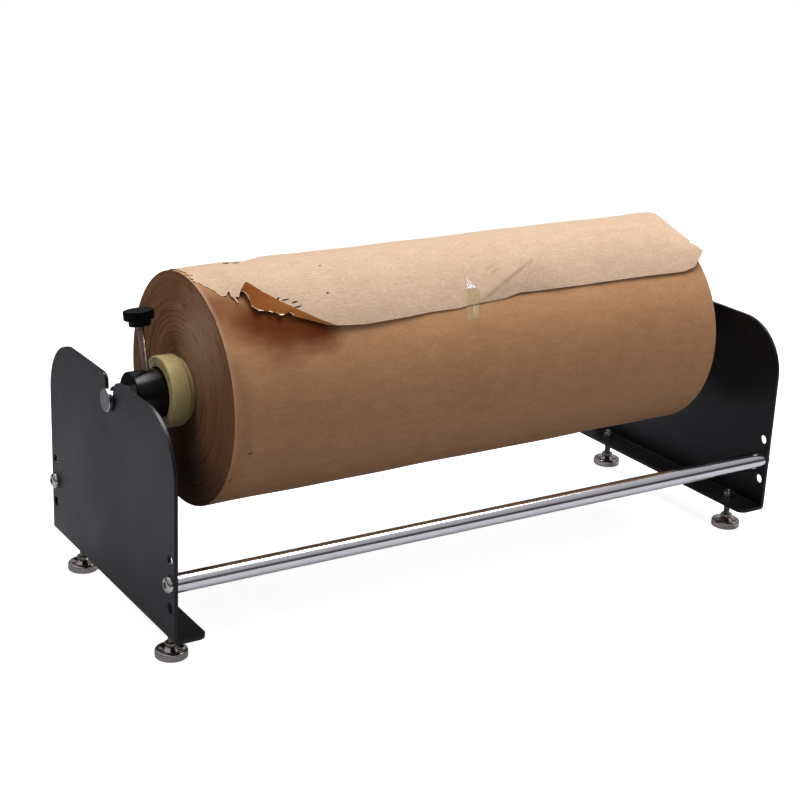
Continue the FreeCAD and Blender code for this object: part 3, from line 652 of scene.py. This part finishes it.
def wound_roll():
    rng = random.Random(5)
    angles = [360 * k / ROUND_STEPS for k in range(ROUND_STEPS)]
    rim = {a: rng.gauss(0, RIM_ROUGHNESS) * MM - RIM_NICK * (rng.random() < NICK_CHANCE)
           for a in angles}
    rows, finish = [], []

    def add_row(x_at, radius_at, after):
        """A ring of points; after is the finish of the strip that follows it."""
        rows.append([on_roll(x_at(a), a, radius_at(a)) for a in angles])
        finish.append(after)

    def add_end(x, radius, inward, outwards):
        """The cut end of the layers, as rings that stand a little in or out."""
        radii = []
        at = BORE_RADIUS
        while at < radius - 0.6 * RING_STEP:
            radii.append(at)
            at += RING_STEP * rng.uniform(0.5, 1.5)
        radii.append(radius)
        rings = []
        for low, high in zip(radii, radii[1:]):
            offset = ring_waves(rng)
            rings += [(low + RING_GROOVE, offset), (high - RING_GROOVE, offset)]
        for r, offset in (rings if outwards else reversed(rings)):
            add_row(lambda a, o=offset: x + inward * o(a), lambda a, r=r: min(r, radius), CUT_END)

    add_row(lambda a: ROLL_LEFT + BORE_DEPTH, lambda a: BORE_RADIUS, CUT_END)
    add_end(ROLL_LEFT, LEFT_RADIUS - RIM_CHAMFER, 1, True)
    add_row(lambda a: ROLL_LEFT + 0.3 * MM,
            lambda a: paper_radius(ROLL_LEFT, a) - LAYER + min(rim[a], 0), SURFACE)
    add_row(lambda a: ROLL_LEFT + 0.9 * MM, lambda a: paper_radius(ROLL_LEFT, a) - LAYER, SURFACE)
    add_row(layer_edge, lambda a: paper_radius(ROLL_LEFT, a) - LAYER, SURFACE)
    add_row(lambda a: layer_edge(a) + EDGE_WIDTH, lambda a: paper_radius(ROLL_LEFT, a), SURFACE)
    x = ROLL_LEFT + FIRST_STEP
    while x < ROLL_RIGHT - 0.5 * SURFACE_STEP:
        add_row(lambda a, x=x: x, lambda a, x=x: paper_radius(x, a), SURFACE)
        x += SURFACE_STEP
    add_row(lambda a: ROLL_RIGHT - 0.6 * MM, lambda a: paper_radius(ROLL_RIGHT, a), CUT_END)
    add_end(ROLL_RIGHT, RIGHT_RADIUS - RIM_CHAMFER, -1, False)
    add_row(lambda a: ROLL_RIGHT - BORE_DEPTH, lambda a: BORE_RADIUS, CUT_END)

    def flat(i, j):
        return rows[i][j % ROUND_STEPS].x, math.tau * j / ROUND_STEPS * LEFT_RADIUS

    piece = new_piece("wound_paper", *grid(rows, flat), "paper_roll", "kraft_paper",
                      [kraft_paper, end_paper])
    piece.data.polygons.foreach_set(
        "material_index", [index for index in finish[:-1] for _ in range(ROUND_STEPS)])
    piece.data.set_sharp_from_angle(angle=math.radians(40))
    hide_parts("paper_roll")


# --- the loose last lap ---

# Lengths of the sheet are in mm where it is laid flat: u runs along x and v round the roll.
LAP_THICKNESS = 0.3
LAP_STEP = 4.0
# The least that the sheet's middle lies above the wound paper.
LEAST_LIFT = 0.22
# How freely the smooth surface passes by its points: 0 leads it through them.
PLATE_EASE = 1.0

# Points are (x, angle, lift off the wound paper), or (x, angle). First the line that the torn corner
# folds over, the folded part's own edge, and the sheet's free edge.
RIDGE = ((-208.0, 21.3, 5.0), (-199.8, 29.2, 5.2), (-188.7, 35.7, 5.0), (-174.8, 41.6, 4.6),
         (-158.5, 47.6, 4.2), (-145.7, 51.1, 3.8))
FLAP_EDGE = ((-211.9, 23.7, 4.2), (-215.7, 26.0, 3.3), (-213.5, 27.2, 2.8), (-212.4, 29.3, 2.4),
             (-212.4, 32.1, 2.1), (-213.2, 35.1, 2.0), (-209.9, 37.9, 2.0), (-204.8, 38.8, 2.2),
             (-201.1, 39.3, 2.2), (-197.4, 40.2, 2.1), (-194.9, 40.6, 2.2), (-193.0, 41.9, 2.1),
             (-188.2, 41.9, 2.2), (-183.2, 41.5, 2.5), (-180.7, 43.4, 2.2), (-175.9, 44.7, 2.2),
             (-168.8, 46.3, 2.4), (-161.9, 48.2, 2.6), (-155.6, 49.6, 3.0), (-145.7, 51.1, 3.8))
FREE_EDGE = ((-119.7, 52.1, 3.0), (-75.7, 50.9, 1.8), (-54.8, 49.9, 1.2), (-24.8, 49.8, 0.9),
             (-15.9, 49.0, 0.7), (24.7, 47.5, 0.8), (40.5, 45.6, 1.6), (81.4, 45.9, 1.8),
             (128.8, 45.5, 1.9), (186.9, 45.5, 2.0), (227.4, 45.6, 2.2), (241.3, 44.1, 3.4))
# What the loose sheet follows: its rear, the roll's upper outline, its right and left ends, its
# middle, the ridge and the free edge.
LAP_LIFTS = (
    (-240, -110, 0.2), (-120, -110, 0.2), (0, -110, 0.2), (120, -110, 0.2),
    (256, -110, 0.2), (-240, -85, 0.3), (0, -85, 0.6), (256, -85, 1.2),
    (-240, -50, 0.6), (-100, -50, 2.0), (0, -50, 3.2), (120, -50, 4.6), (253, -50, 6.4),
    (-231, -16, 0.8), (-206, -16, 1.4), (-196, -16, 1.6), (-188, -16, 0.7), (-178, -16, 0.5),
    (-170, -16, 1.6), (-164, -16, 2.8), (-133, -16, 2.9), (-27, -16, 5.1), (87, -16, 6.9),
    (210, -16, 8.3), (253, -16, 8.9), (253, -3.3, 9.0), (253, 1.3, 6.8), (253, 10.7, 3.3),
    (253, 18.4, 3.2), (253, 26.4, 4.6), (256.6, 36.3, 7.4),
    (-240, 5, 0.2), (-238, 18.6, 0.2), (-233.5, 24.7, 0.3), (-228, 26.4, 0.7),
    (-222.7, 32.1, 1.2), (-219.6, 29.1, 2.0), (-215.7, 26.0, 3.3), (-215, 8, 2.8),
    (-228, 17, 0.9), (-190, 12, 4.3), (-150, 20, 4.8), (10, 48.0, 0.6), (-90, 20, 4.5),
    (-20, 22, 4.0), (60, 15, 6.5), (150, 15, 7.5), (215, 15, 6.6), *RIDGE, *FREE_EDGE)
# How steeply the sheet falls away below its crease, and between which x that fades out.
CREASE_DROP = 0.24
CREASE_FADES = (60, 130)
# First and last points of FLAP_EDGE that each pale curl runs between.
SCALLOPS = ((1, 4), (5, 7), (8, 9), (10, 12), (13, 14))
REAR_LEFT_EDGE = ((-238, -110), (-237, -85), (-239, -60), (-238, -40), (-241, -25), (-243, -12),
                  (-244.1, -4.5))
LEFT_EDGE = ((-244.1, -4.5), (-242.3, 0.8), (-246.1, 2.8), (-240.1, 5.1), (-245.7, 7.7),
             (-243.9, 10.4), (-246.0, 11.3), (-243.6, 13.8), (-242.3, 13.7), (-241.2, 16.1),
             (-240.2, 17.4), (-238.1, 18.6), (-237.0, 20.6), (-234.5, 21.7), (-234.4, 23.6),
             (-233.5, 24.7), (-232.2, 26.5), (-228.3, 26.4), (-224.1, 24.0), (-225.2, 27.3),
             (-223.9, 28.4), (-222.7, 32.1), (-221.7, 31.9), (-222.0, 28.4), (-219.6, 29.1),
             (-215.7, 26.0), (-211.9, 23.7))
RIGHT_EDGE = ((256.6, 36.3), (254.5, 31.5), (251.6, 28.4), (253.5, 26.4), (253, 18.4), (253, 1.3),
              (253.5, -10), (254, -40), (254, -80), (253, -110))
# Slits near the ridge, as (x, angle) of both ends, and holes, as (x, angle) and half their width
# along x and round the roll.
SLITS = (((-191.3, 34.9), (-187.8, 33.7)), ((-188.1, 35.6), (-179.8, 35.2)),
         ((-180.6, 37.6), (-173.1, 36.8)), ((-179.5, 40.1), (-171.0, 39.3)))
SLIT_HALF_WIDTH = 0.7
HOLES = ((-202.8, -4.5, 3.4, 3.0), (-195.6, -2.4, 3.4, 2.6), (-179.5, -18.0, 7.0, 10.0),
         (-143.6, 33.9, 1.4, 0.9), (-133.3, 14.5, 1.2, 0.7))


def arc(angle):
    return math.radians(angle) * FLAT_RADIUS


def thin_plate(points):
    """A smooth surface laid along points (u, v, height), as a function of u and v."""
    data = np.array(points)
    where, heights = data[:, :2], data[:, 2]

    def kernel(distance):
        return distance ** 2 * np.log(distance + 1e-9)

    spread = np.linalg.norm(where[:, None] - where[None], axis=2)
    plane = np.column_stack([np.ones(len(data)), where])
    system = np.block([[kernel(spread) + PLATE_EASE * np.eye(len(data)), plane],
                       [plane.T, np.zeros((3, 3))]])
    weights = np.linalg.solve(system, np.append(heights, (0, 0, 0)))

    def height(u, v):
        distance = np.hypot(where[:, 0] - u, where[:, 1] - v)
        return float(kernel(distance) @ weights[:-3] + weights[-3:] @ (1, u, v))
    return height


def crease_drop(u, v):
    """How far the sheet falls away below its slanting crease, right of the tape."""
    (u0, a0), (u1, a1) = CREASE
    v0, v1 = arc(a0), arc(a1)
    length = math.hypot(u1 - u0, v1 - v0)
    below = ((u1 - u0) * (v - v0) - (v1 - v0) * (u - u0)) / length
    fade = float(np.interp(u, CREASE_FADES, (1.0, 0.0)))
    return CREASE_DROP * max(0.0, below) * fade


lap_height = thin_plate([(u, arc(a), h + crease_drop(u, arc(a))) for u, a, h in LAP_LIFTS])


def lap_lift(u, v):
    return max(LEAST_LIFT, lap_height(u, v) - crease_drop(u, v))


def lap_point(u, v, lift):
    """A flat point of the lap put over the wound paper."""
    x, angle = u * MM, math.degrees(v / FLAT_RADIUS)
    return on_roll(x, angle, paper_radius(x, angle) + lift * MM)


def along(points, step):
    """Points at even steps along a line of straight runs, without its last point."""
    made = []
    for start, end in zip(points, points[1:]):
        start, end = Vector(start), Vector(end)
        count = max(1, round((end - start).length / step))
        made += [start.lerp(end, k / count) for k in range(count)]
    return made


def ragged(points, rng, depth):
    """Every second point pushed about, for a torn edge."""
    return [p + Vector([rng.uniform(-depth, depth) for _ in p]) if k % 2 else p
            for k, p in enumerate(points)]


def inside(point, outline):
    u, v = point
    crossings = 0
    for (u0, v0), (u1, v1) in zip(outline, outline[1:] + outline[:1]):
        if (v0 > v) != (v1 > v) and u < u0 + (v - v0) / (v1 - v0) * (u1 - u0):
            crossings += 1
    return crossings % 2 == 1


def lens(u, v, half_long, half_wide, slant=0.0, count=8):
    """A narrow opening with pointed ends."""
    points = []
    for k in range(count):
        turn = math.tau * k / count
        along_u = half_long * math.cos(turn)
        across = half_wide * math.sin(turn) * abs(math.sin(turn))
        points.append((u + along_u * math.cos(slant) - across * math.sin(slant),
                       v + along_u * math.sin(slant) + across * math.cos(slant)))
    return points


def slit(start, end):
    middle_point, run = (start + end) / 2, end - start
    return lens(*middle_point, run.length / 2, SLIT_HALF_WIDTH, slant=math.atan2(run.y, run.x))


def flat_edge(points):
    return [(u, arc(a)) for u, a, *_ in points]


def lap_outline(rng):
    """The flat sheet's closed outline up to the ridge that its torn corner folds over."""
    left = ragged(along(flat_edge(REAR_LEFT_EDGE), step=2.2), rng, depth=0.9)
    left += ragged(along(flat_edge(LEFT_EDGE), step=1.5), rng, depth=0.2)
    ridge = along(flat_edge((LEFT_EDGE[-1],) + RIDGE), step=3.0)
    free = along(flat_edge((RIDGE[-1],) + FREE_EDGE), step=4.0)
    right = along(flat_edge((FREE_EDGE[-1],) + RIGHT_EDGE), step=3.0)
    rear = along(flat_edge((RIGHT_EDGE[-1], REAR_LEFT_EDGE[0])), step=6.0)
    return [tuple(p) for p in left + ridge + free + right + rear]


def triangulated(outline, holes, step):
    """Triangles inside the outline and outside the holes, with inner points about a step apart."""
    points, edges = [], []
    for loop in [outline] + holes:
        first = len(points)
        points += [Vector(p) for p in loop]
        edges += [(first + k, first + (k + 1) % len(loop)) for k in range(len(loop))]

    def on_paper(place):
        return inside(place, outline) and not any(inside(place, hole) for hole in holes)

    border = np.array([tuple(p) for p in points])
    low, high = border.min(axis=0), border.max(axis=0)
    for row, v in enumerate(np.arange(low[1] + step, high[1], step)):
        for u in np.arange(low[0] + step * (1 + 0.5 * (row % 2)), high[0], step):
            clear = np.hypot(*(border - (u, v)).T).min() > 0.45 * step
            if clear and on_paper((u, v)):
                points.append(Vector((u, v)))
    made, _, triangles, *_ = delaunay_2d_cdt(points, edges, [], 0, 1e-4)
    kept = []
    for triangle in triangles:
        centre = sum((made[i] for i in triangle), Vector((0, 0))) / 3
        if on_paper(centre):
            kept.append(tuple(triangle))
    return [tuple(p) for p in made], kept


def loose_lap():
    rng = random.Random(11)
    outline = lap_outline(rng)
    holes = [slit(*(Vector((u, arc(a))) for u, a in ends)) for ends in SLITS]
    holes += [lens(u, arc(a), half_u, half_v, count=10) for u, a, half_u, half_v in HOLES]
    flat, triangles = triangulated(outline, holes, LAP_STEP)
    outwards = [triangle[::-1] for triangle in triangles]
    points = [lap_point(u, v, lap_lift(u, v)) for u, v in flat]
    uvs = [(flat[i][0] * MM, flat[i][1] * MM) for triangle in outwards for i in triangle]
    piece = new_piece("loose_sheet", points, outwards, uvs, "outer_lap", "kraft_paper",
                      [lit_loose_paper, shaded_under_paper])
    thicken(piece, LAP_THICKNESS * MM)
    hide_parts("outer_lap")


def resampled(points, count):
    """The line of straight runs as count points at even distances."""
    data = np.array(points, float)
    steps = np.append(0, np.cumsum(np.linalg.norm(np.diff(data, axis=0), axis=1)))
    even = np.linspace(0, steps[-1], count)
    return np.column_stack([np.interp(even, steps, column) for column in data.T])


FLAP_STEPS = 60
# The folded corner's rows, as shares of the way from its ridge to its edge, and its flat map's width.
FLAP_SHARES = (0.0, 0.04, 0.25, 0.5, 0.75, 1.0)
FLAP_WIDTH = 12
FLAP_BULGE = 0.5
CURL_STEPS = 24
# Rows of a pale curl, as its lift and its reach past the folded corner's edge.
CURL_ROWS = ((0.2, -0.5), (1.2, 0.4), (1.8, 1.5))
CURL_THICKNESS = 0.25


def folded_flap():
    """The torn corner, which turns down over the ridge and ends in a ragged edge."""
    rng = random.Random(3)
    ridge = resampled([(u, arc(a), lap_height(u, arc(a))) for u, a, _ in RIDGE], FLAP_STEPS)
    edge = resampled([(u, arc(a), h) for u, a, h in FLAP_EDGE], FLAP_STEPS)
    rows = []
    for share in FLAP_SHARES:
        row = []
        for k in range(FLAP_STEPS):
            u, v, h = ridge[k] + (edge[k] - ridge[k]) * share
            bulge = FLAP_BULGE * math.sin(math.pi * share) * (1 - k / FLAP_STEPS)
            ragged_by = rng.uniform(-0.5, 0.5) * (share == 1.0)
            row.append(lap_point(u + ragged_by, v, h + bulge + 0.6 * abs(ragged_by)))
        rows.append(row)

    def flat(i, j):
        return ridge[j][0] * MM, (ridge[j][1] + FLAP_WIDTH * i / (len(FLAP_SHARES) - 1)) * MM

    piece = new_piece("folded_corner", *grid(rows, flat, closed=False), "outer_lap",
                      "kraft_paper", [shaded_under_paper, shaded_under_paper, torn_paper])
    thicken(piece, LAP_THICKNESS * MM)


def torn_scallops():
    """Pale curls of fibre where the slits of the torn corner broke through."""
    rng = random.Random(8)
    nets = []
    for first, last in SCALLOPS:
        here = resampled([(u, arc(a), h) for u, a, h in FLAP_EDGE[first:last + 1]], CURL_STEPS)
        rows = []
        for lift, out in CURL_ROWS:
            row = []
            for k, (u, v, h) in enumerate(here):
                swell = math.sin(math.pi * k / (len(here) - 1)) ** 0.6
                fluff = rng.uniform(-0.15, 0.15)
                row.append(lap_point(u + fluff, v + out * swell, h + lift * swell + fluff))
            rows.append(row)
        nets.append(grid(rows, lambda i, j: (j * MM, i * MM), closed=False))
    piece = new_piece("torn_scallops", *joined(nets), "outer_lap", "kraft_paper", [torn_paper])
    thicken(piece, CURL_THICKNESS * MM)


# --- the tape ---

# Angles of the tape's ends, and x in mm of its two corners at each. Its flat map is wider than it.
TAPE_FRONT, TAPE_REAR = 64.5, 34.0
TAPE_CORNERS = ((-26.5, -11.5), (-8.0, 4.5))
TAPE_MAP_WIDTH = 18.5 * MM
TAPE_THICKNESS = 0.06 * MM
# Its middle's height over what carries it, and over the sheet besides, in mm.
TAPE_GAP = 0.15
SHEET_GAP = 0.15
# How many degrees it takes to come down from the sheet, and from which share its end is crumpled.
TAPE_BRIDGE = 1.6
CRUMPLED_FROM = 0.78
TAPE_ROWS, TAPE_COLUMNS = 56, 16


def tape_lift(u, angle):
    """Lies on the loose sheet, bridges its free edge and sticks to the roll below it."""
    places, angles, _ = zip(*FREE_EDGE)
    edge = float(np.interp(u, places, angles))
    share = math.exp(-max(0.0, angle - edge) / TAPE_BRIDGE)
    return TAPE_GAP + (lap_lift(u, arc(min(angle, edge))) + SHEET_GAP) * share


def tape():
    rng = random.Random(21)
    rows = []
    for i in range(TAPE_ROWS + 1):
        share = i / TAPE_ROWS
        angle = TAPE_FRONT + (TAPE_REAR - TAPE_FRONT) * share
        left, right = (low + (high - low) * share for low, high in zip(*TAPE_CORNERS))
        crumple = max(0.0, share - CRUMPLED_FROM) / (1 - CRUMPLED_FROM)
        row = []
        for j in range(TAPE_COLUMNS + 1):
            u = left + (right - left) * j / TAPE_COLUMNS
            buckle = crumple * (0.5 + 0.9 * math.sin(1.9 * j + 0.8 * i) + rng.uniform(-0.3, 0.3))
            row.append(lap_point(u, arc(angle), tape_lift(u, angle) + max(0.0, buckle)))
        rows.append(row)

    def flat(i, j):
        return TAPE_MAP_WIDTH * j / TAPE_COLUMNS, TAPE_LENGTH * i / TAPE_ROWS

    piece = new_piece("tape_film", *grid(rows, flat, closed=False), "tape_strip", "clear_tape",
                      [clear_tape()])
    thicken(piece, TAPE_THICKNESS)
    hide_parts("tape_strip")


# --- screw threads ---

THREAD_RADIUS = 3 * MM
THREAD_PITCH = 1 * MM
THREAD_DEPTH = 0.4 * MM
THREAD_SIDES = 24
THREAD_ROWS = 6
# Spacing round and along a thread on its flat map.
THREAD_FLAT = (0.5 * MM, 0.2 * MM)
HEXAGON_HEIGHT = 3 * MM
HEXAGON_GAP = 0.3 * MM
HEXAGON_SIDES = 48
# How far its turned ends reach past its flats.
HEXAGON_TURNED = 1.04


def threaded_rows(length, lead=0.6 * MM):
    """Rings of a threaded rod from its foot up, in its own frame, with tapered ends."""
    count = max(2, round(length / THREAD_PITCH * THREAD_ROWS))
    rows = []
    for i in range(count + 1):
        z = length * i / count
        taper = min(1.0, (min(z, length - z) + 0.15 * MM) / lead)
        row = []
        for j in range(THREAD_SIDES):
            turn = j / THREAD_SIDES
            wave = abs(((z / THREAD_PITCH - turn) % 1) * 2 - 1)
            # Cut flat at its top and bottom, for the crest and the root.
            groove = min(1.0, max(0.0, 1.7 * wave - 0.35))
            r = THREAD_RADIUS - THREAD_DEPTH * max(groove, 1 - taper)
            row.append(round_z(r, math.tau * turn, z))
        rows.append(row)
    return rows


def closed_rows(rows):
    """The rings with a cap at each end."""
    first, last = ([Vector((0, 0, row[0].z))] * len(row) for row in (rows[0], rows[-1]))
    return [first] + rows + [last]


def hexagon_rows(low, across_flats, chamfer=0.35 * MM):
    """Rings of a hexagon whose corners are turned off at both ends."""
    flat = across_flats / 2
    limit = flat * HEXAGON_TURNED
    high = low + HEXAGON_HEIGHT
    rows = []
    for z, turned in ((low, True), (low + chamfer, False), (high - chamfer, False), (high, True)):
        row = []
        for j in range(HEXAGON_SIDES):
            turn = math.tau * j / HEXAGON_SIDES
            r = flat / math.cos((turn + math.pi / 6) % (math.pi / 3) - math.pi / 6)
            r = min(r, limit) if turned else r
            row.append(round_z(r, turn, z))
        rows.append(row)
    return rows


def threaded_piece(name, node, slot, material, row_sets, place):
    def flat(i, j):
        return THREAD_FLAT[0] * j, THREAD_FLAT[1] * i

    points, faces, uvs = joined(grid(closed_rows(rows), flat) for rows in row_sets)
    points = [place @ point for point in points]
    piece = new_piece(name, points, faces, uvs, node, slot, [material])
    piece.data.validate()
    piece.data.set_sharp_from_angle(angle=math.radians(32))
    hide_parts(node)


def foot_studs():
    steel = plain_steel("stud_steel", (0.50, 0.49, 0.43), 0.3, stain=0.45)
    for corner in CORNERS:
        node = f"foot_stud_{corner}"
        low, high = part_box(node)
        centre = middle(node)
        pad_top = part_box(f"foot_pad_{corner}")[1][2]
        threads = threaded_rows(high[2] - low[2])
        hexagon = hexagon_rows(pad_top + HEXAGON_GAP - low[2], high[1] - low[1])
        place = Matrix.Translation((centre.x, centre.y, low[2]))
        threaded_piece(f"threaded_foot_{corner}", node, "zinc_steel", steel, [threads, hexagon], place)


def thumb_studs():
    steel = plain_steel("thumb_steel", (0.58, 0.52, 0.45), 0.2, stain=0.4)
    for side in SIDES:
        node = f"thumb_screw_stud_{side}"
        joint = next(j for j in frame["joints"] if j["child"] == f"thumb_stud_{side}")
        direction = Vector(joint["axis"]).normalized()
        centre = middle(node)
        vertices = nodes[node].data.vertices
        reach = [(vertex.co - centre).dot(direction) for vertex in vertices]
        length = max(reach) - min(reach)
        place = Matrix.Translation(centre + direction * min(reach)) @ \
            direction.to_track_quat("Z", "Y").to_matrix().to_4x4()
        threaded_piece(f"threaded_thumb_{side}", node, "zinc_steel", steel,
                       [threaded_rows(length)], place)


# --- floor, light and camera ---

FLOOR_SHADE = (0.37, 0.37, 0.40, 1)
FLOOR_SPECK = (0.3848, 0.3848, 0.416, 1)
# How bright the floor looks by itself, straight and mirrored in the object.
FLOOR_GLOW = 0.88
FLOOR_SHINE = 0.15
# Distances from its middle between which it fades out, and the radii of its rings, in metres.
FLOOR_FADES = (0.7, 1.6)
FLOOR_RINGS = (0.001, 0.4, 0.8, 1.2, 1.7)
FLOOR_SIDES = 64
# Brightness of the room by height, from straight down (0) through the horizon (0.5) to straight up.
ROOM_SHADES = ((0.0, 0.36), (0.44, 0.26), (0.52, 0.12), (0.62, 0.14), (0.70, 0.70), (0.90, 0.95),
               (1.0, 1.0))
ROOM_TINT = (1.0, 0.965, 1.01)
ROOM_STRENGTH = 0.64


def floor():
    """A pale floor that fades into the white backdrop and shows only the closest shadows."""
    look = Look("pale_floor", Roughness=0.9, Specular_IOR_Level=0.1)
    grain = look.noise(look.place, 14.0, 4.0)
    rays = look.node("LightPath").outputs
    mirrored = look.times(rays["Is Glossy Ray"], FLOOR_SHINE)
    far = look.from_axis((0.0, 0.0, 0.0), (1.0, 1.0, 0.0))
    look.give(Base_Color=look.blend(grain, FLOOR_SHADE, FLOOR_SPECK),
              Emission_Color=(1, 1, 1, 1),
              Emission_Strength=look.math("MULTIPLY_ADD", rays["Is Camera Ray"], FLOOR_GLOW, mirrored),
              Alpha=look.between(far, *FLOOR_FADES, 1.0, 0.0))
    turns = [math.tau * j / FLOOR_SIDES for j in range(FLOOR_SIDES)]
    rows = [[round_z(radius, turn, 0.0) for turn in turns] for radius in FLOOR_RINGS]
    points, faces, _ = grid(rows, lambda i, j: (i, j))
    mesh = bpy.data.meshes.new("floor")
    mesh.from_pydata(points, [], faces)
    mesh.materials.append(look.material)
    new_object("floor", mesh)


def backdrop():
    """White behind everything, and a soft room of its own for light and reflections."""
    world = bpy.data.worlds.new("studio")
    bpy.context.scene.world = world
    world.use_nodes = True
    tree = world.node_tree
    tree.nodes.clear()
    place = add_node(tree, "TexCoord").outputs["Generated"]
    up = add_node(tree, "SeparateXYZ", {0: place}).outputs["Z"]
    height = add_node(tree, "MapRange", {"Value": up, "From Min": -1.0}).outputs["Result"]
    ramp = add_node(tree, "ValToRGB", {"Fac": height})
    stops = ramp.color_ramp.elements
    for position, _ in ROOM_SHADES[1:-1]:
        stops.new(position)
    for stop, (_, shade) in zip(stops, ROOM_SHADES):
        stop.color = tuple(shade * tint for tint in ROOM_TINT) + (1,)
    room = add_node(tree, "Background", {"Color": ramp.outputs["Color"], "Strength": ROOM_STRENGTH})
    white = add_node(tree, "Background", {"Color": (1, 1, 1, 1)})
    seen = add_node(tree, "LightPath").outputs["Is Camera Ray"]
    mix = add_node(tree, "MixShader", {"Fac": seen, 1: room.outputs[0], 2: white.outputs[0]})
    add_node(tree, "OutputWorld", {"Surface": mix.outputs[0]})


# Each light's name, place, target, size, power in watts and colour.
LIGHTS = (("overhead", (0.34, 0.24, 1.7), (0.05, 0.0, 0.15), (1.5, 0.8), 40, (1, 0.985, 0.955)),
          ("left", (-1.15, -0.1, 1.5), (-0.25, 0.0, 0.25), (0.6, 0.6), 7, (1, 0.97, 0.93)),
          ("front", (1.0, -2.0, 0.1), (0.05, 0.0, 0.19), (1.6, 0.7), 17.5, (1, 0.95, 0.9)))


def lights():
    """Soft area lights, of which only the overhead one is mirrored."""
    for name, place, target, size, power, colour in LIGHTS:
        data = bpy.data.lights.new(name, "AREA")
        data.shape = "RECTANGLE"
        data.size, data.size_y = size
        data.energy = power
        data.color = colour
        light = new_object(name, data)
        light.location = place
        light.rotation_euler = (Vector(target) - Vector(place)).to_track_quat("-Z", "Y").to_euler()
        light.visible_glossy = name == "overhead"


# The photograph's camera, solved from the plates' corners and holes and the roll's rims.
CAMERA_LENS = 75.06
CAMERA_PLACE = (-0.79863, -1.19179, 0.63508)
CAMERA_TURN = (1.239821, -0.042333, -0.558377)
VIEW_GAMMA = 0.85


def camera():
    data = bpy.data.cameras.new("camera")
    data.lens = CAMERA_LENS
    data.sensor_width = 36.0
    data.sensor_fit = "HORIZONTAL"
    made = new_object("camera", data)
    made.location = CAMERA_PLACE
    made.rotation_euler = CAMERA_TURN
    bpy.context.scene.camera = made
    bpy.context.scene.view_settings.view_transform = "Standard"
    bpy.context.scene.view_settings.gamma = VIEW_GAMMA


wound_roll()
loose_lap()
folded_flap()
torn_scallops()
tape()
foot_studs()
thumb_studs()
floor()
backdrop()
lights()
camera()
